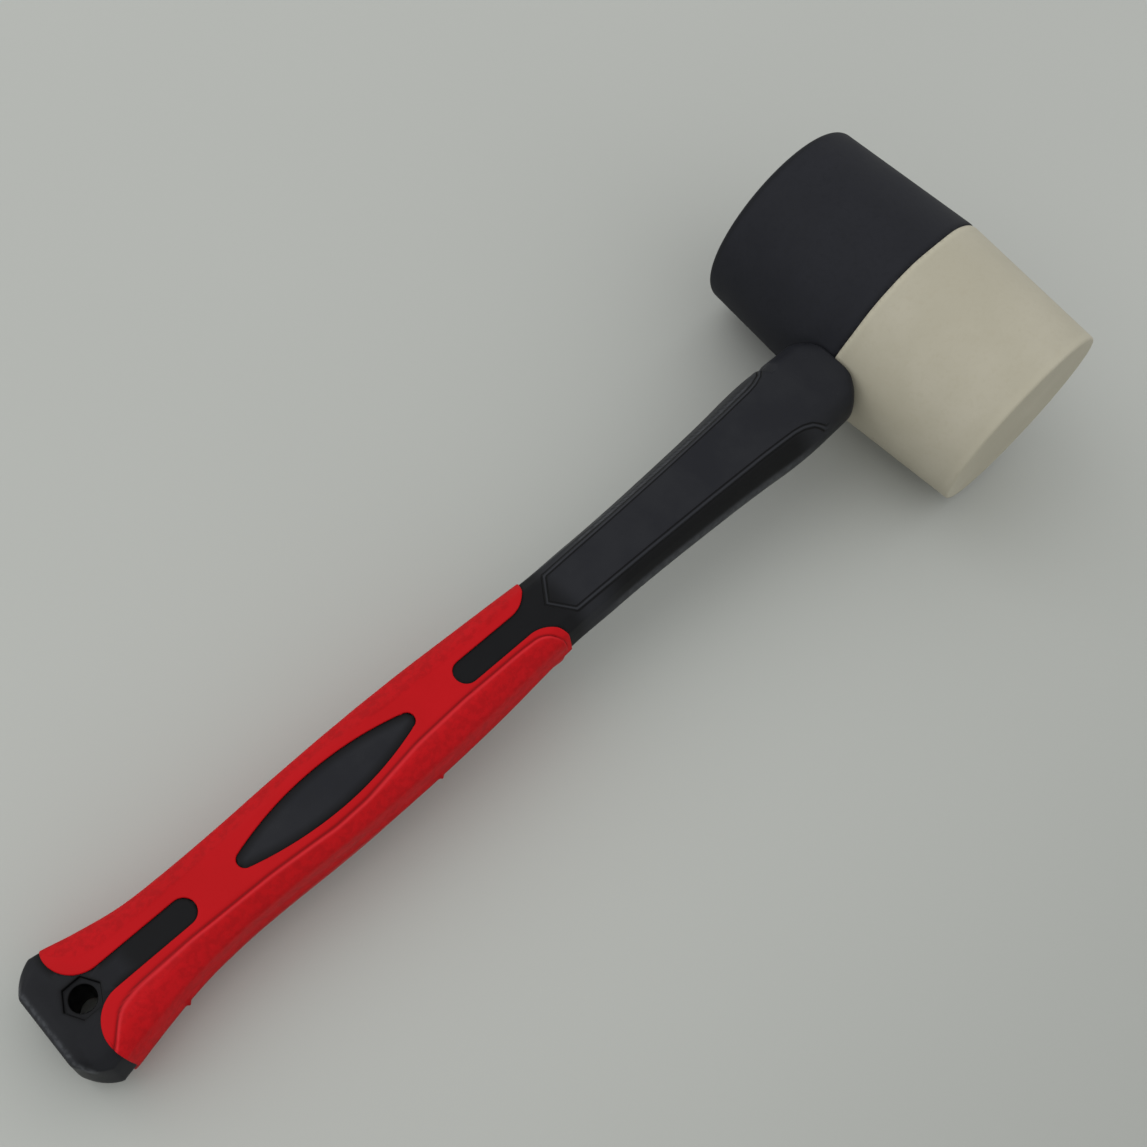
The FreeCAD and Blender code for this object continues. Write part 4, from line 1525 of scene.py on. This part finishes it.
        ring = np.concatenate([outer, inner[:, ::-1]], axis=1)
        builder.add_grid(ring, wrap=True, **{key: twice(v) for key, v in marks.items()})
        for row in (0, -1):
            strip = np.stack([outer[row], inner[row]])
            builder.add_grid(strip, **{key: v[row] for key, v in marks.items()})

    def ridge_marks(self, points: Array, side: float) -> dict[str, Array]:
        """Painted shade in the fold under the proud band's edge, and a painted highlight along its
        top edge.
        """
        past = np.abs(points[..., 1]) - ridge_away(points[..., 0])
        shown = smoothstep(*self.face_z, np.abs(points[..., 2])) * (side < 0.0)
        return {"crease": bell(past + 0.15, 0.3) * shown, "crest": bell(past - 0.55, 0.35) * shown}

    def side_mark(self, points: Array) -> Array:
        """1 on the grained side band and 0 on the smooth top."""
        knots, away = np.array(RIDGE_LINE).T
        line = np.interp(points[..., 0], knots, away)
        return smoothstep(0.0, 0.8, np.abs(points[..., 1]) - line)

    def grip(self) -> MeshBuilder:
        """Mesh of the red skin."""
        builder = MeshBuilder("grip", self.axes)
        for side in (1.0, -1.0):
            self.skin_side(builder, side)
        builder.points = [self.form.settle(points) for points in builder.points]
        return builder

    def build(self) -> None:
        """Make and dress the jacket and the grip."""
        jacket = self.jacket().build("root", Slot.JACKET, "handle_jacket")
        dress(jacket, JacketPlastic().make())
        grip = self.grip().build("root", Slot.GRIP, "grip_sleeve", split_plane=True)
        dress(grip, GripRubber().make())


@dataclass
class Eye:
    """The rod's end and the resin round it, which keep their CAD meshes."""

    def build(self) -> None:
        """Dress both nodes."""
        dress(frame["nodes"]["fibreglass_core"], CutFibreglass().make())
        dress(frame["nodes"]["eye_resin"], SetResin().make())


# ==== Stage ====


@dataclass
class Studio:
    """Pale floor with painted shade towards -Y, one broad soft lamp, even fill light and the
    camera.
    """

    floor_half: float = 3.0
    floor_colour: str = "b1b3af"
    floor_cloud: str = "b3b5b1"
    floor_shade: str = "a3a5a1"
    shade_from: float = -0.02
    shade_to: float = -0.22
    fill_colour: str = "f2f3f2"
    fill_strength: float = 0.94
    lamp_place: tuple[float, float, float] = (-0.7, 0.95, 1.35)
    lamp_aim: tuple[float, float, float] = (0.0, 0.0, 0.0)
    lamp_size: float = 1.7
    lamp_power: float = 8.4
    camera_place: tuple[float, float, float] = (-0.165704, -0.085506, 0.346824)
    camera_aim: tuple[float, float, float] = (0.012723, 0.009074, 0.0)
    camera_roll: float = 19.4589
    focal_mm: float = 49.39
    sensor_mm: float = 36.0

    def build(self) -> None:
        """Make the floor, the lights and the camera."""
        self.floor()
        self.fill()
        self.lamp()
        self.camera()

    def place(self, name: str, data: bpy.types.ID) -> bpy.types.Object:
        """Put a mesh, light or camera on the stage, which is no part of the mallet."""
        prop = bpy.data.objects.new(name, data)
        bpy.context.scene.collection.objects.link(prop)
        prop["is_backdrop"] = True
        return prop

    def floor(self) -> None:
        """A large level sheet at z = 0, with painted shade that darkens it a little towards -Y,
        standing in for the lamp's falloff.
        """
        side = np.linspace(-self.floor_half, self.floor_half, 25)
        x, y = np.meshgrid(side, side, indexing="ij")
        grid = np.stack([x, y, np.zeros_like(x)], axis=-1)
        mesh = bpy.data.meshes.new("floor")
        mesh.from_pydata(grid.reshape(-1, 3).tolist(), [], grid_quads(*x.shape).tolist())
        shader = Shader("pale table top")
        where = shader.node("ShaderNodeTexCoord").outputs["Object"]
        cloud = shader.noise(where, 0.35, 3.0)
        tones = linear(self.floor_colour), linear(self.floor_cloud)
        colour = shader.mix(shader.ramp(cloud, 0.3, 0.7), *tones)
        across = shader.node("ShaderNodeSeparateXYZ", {}, Vector=where).outputs[1]
        # Painted shade: the floor's tone darkens towards -Y.
        far = shader.ramp(across, self.shade_to, self.shade_from, 1.0, 0.0)
        colour = shader.mix(far, colour, linear(self.floor_shade))
        material = shader.finish(colour, 0.7, cloud, 0.01, Specular_IOR_Level=0.3)
        dress(self.place("floor", mesh), material)

    def fill(self) -> None:
        """Even light from all round."""
        world = bpy.data.worlds.new("soft fill")
        world.use_nodes = True
        sky = world.node_tree.nodes["Background"]
        sky.inputs["Color"].default_value = linear(self.fill_colour)
        sky.inputs["Strength"].default_value = self.fill_strength
        bpy.context.scene.world = world

    def lamp(self) -> None:
        """A broad square lamp, aimed at the tool."""
        data = bpy.data.lights.new("window light", "AREA")
        data.shape = "SQUARE"
        data.size = self.lamp_size
        data.energy = self.lamp_power
        lamp = self.place("window_light", data)
        place, aim = Vector(self.lamp_place), Vector(self.lamp_aim)
        lamp.location = place
        lamp.rotation_euler = (aim - place).to_track_quat("-Z", "Y").to_euler()

    def camera(self) -> None:
        """The camera, aimed at a point on the floor and rolled about its own axis."""
        data = bpy.data.cameras.new("camera")
        data.lens = self.focal_mm
        data.sensor_width = self.sensor_mm
        data.clip_start = 0.01
        camera = self.place("camera", data)
        place, aim = Vector(self.camera_place), Vector(self.camera_aim)
        forward = (aim - place).normalized()
        level = forward.cross(Vector((0.0, 0.0, 1.0))).normalized()
        upright = level.cross(forward)
        roll = math.radians(self.camera_roll)
        right = level * math.cos(roll) + upright * math.sin(roll)
        up = upright * math.cos(roll) - level * math.sin(roll)
        turn = Matrix((right, up, -forward)).transposed().to_4x4()
        camera.matrix_world = Matrix.Translation(place) @ turn
        bpy.context.scene.camera = camera


def plain(bounds: object) -> object:
    """Bounds as plain nested lists, for JSON."""
    if isinstance(bounds, (int, float, str)) or bounds is None:
        return bounds
    if isinstance(bounds, dict):
        return {key: plain(value) for key, value in bounds.items()}
    return [plain(value) for value in bounds]


def main() -> None:
    """Build every sub-assembly, dress it, set the stage and work out the sizes before and after."""
    logging.basicConfig(level=logging.INFO, format="%(message)s", stream=sys.stdout)
    before = plain(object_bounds())
    axes = ToolAxes()
    Head(axes).build()
    Handle(axes).build()
    Eye().build()
    Studio().build()
    bpy.context.scene.view_settings.view_transform = "Standard"
    {"before": before, "after": plain(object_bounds())}


if __name__ == "__main__":
    main()
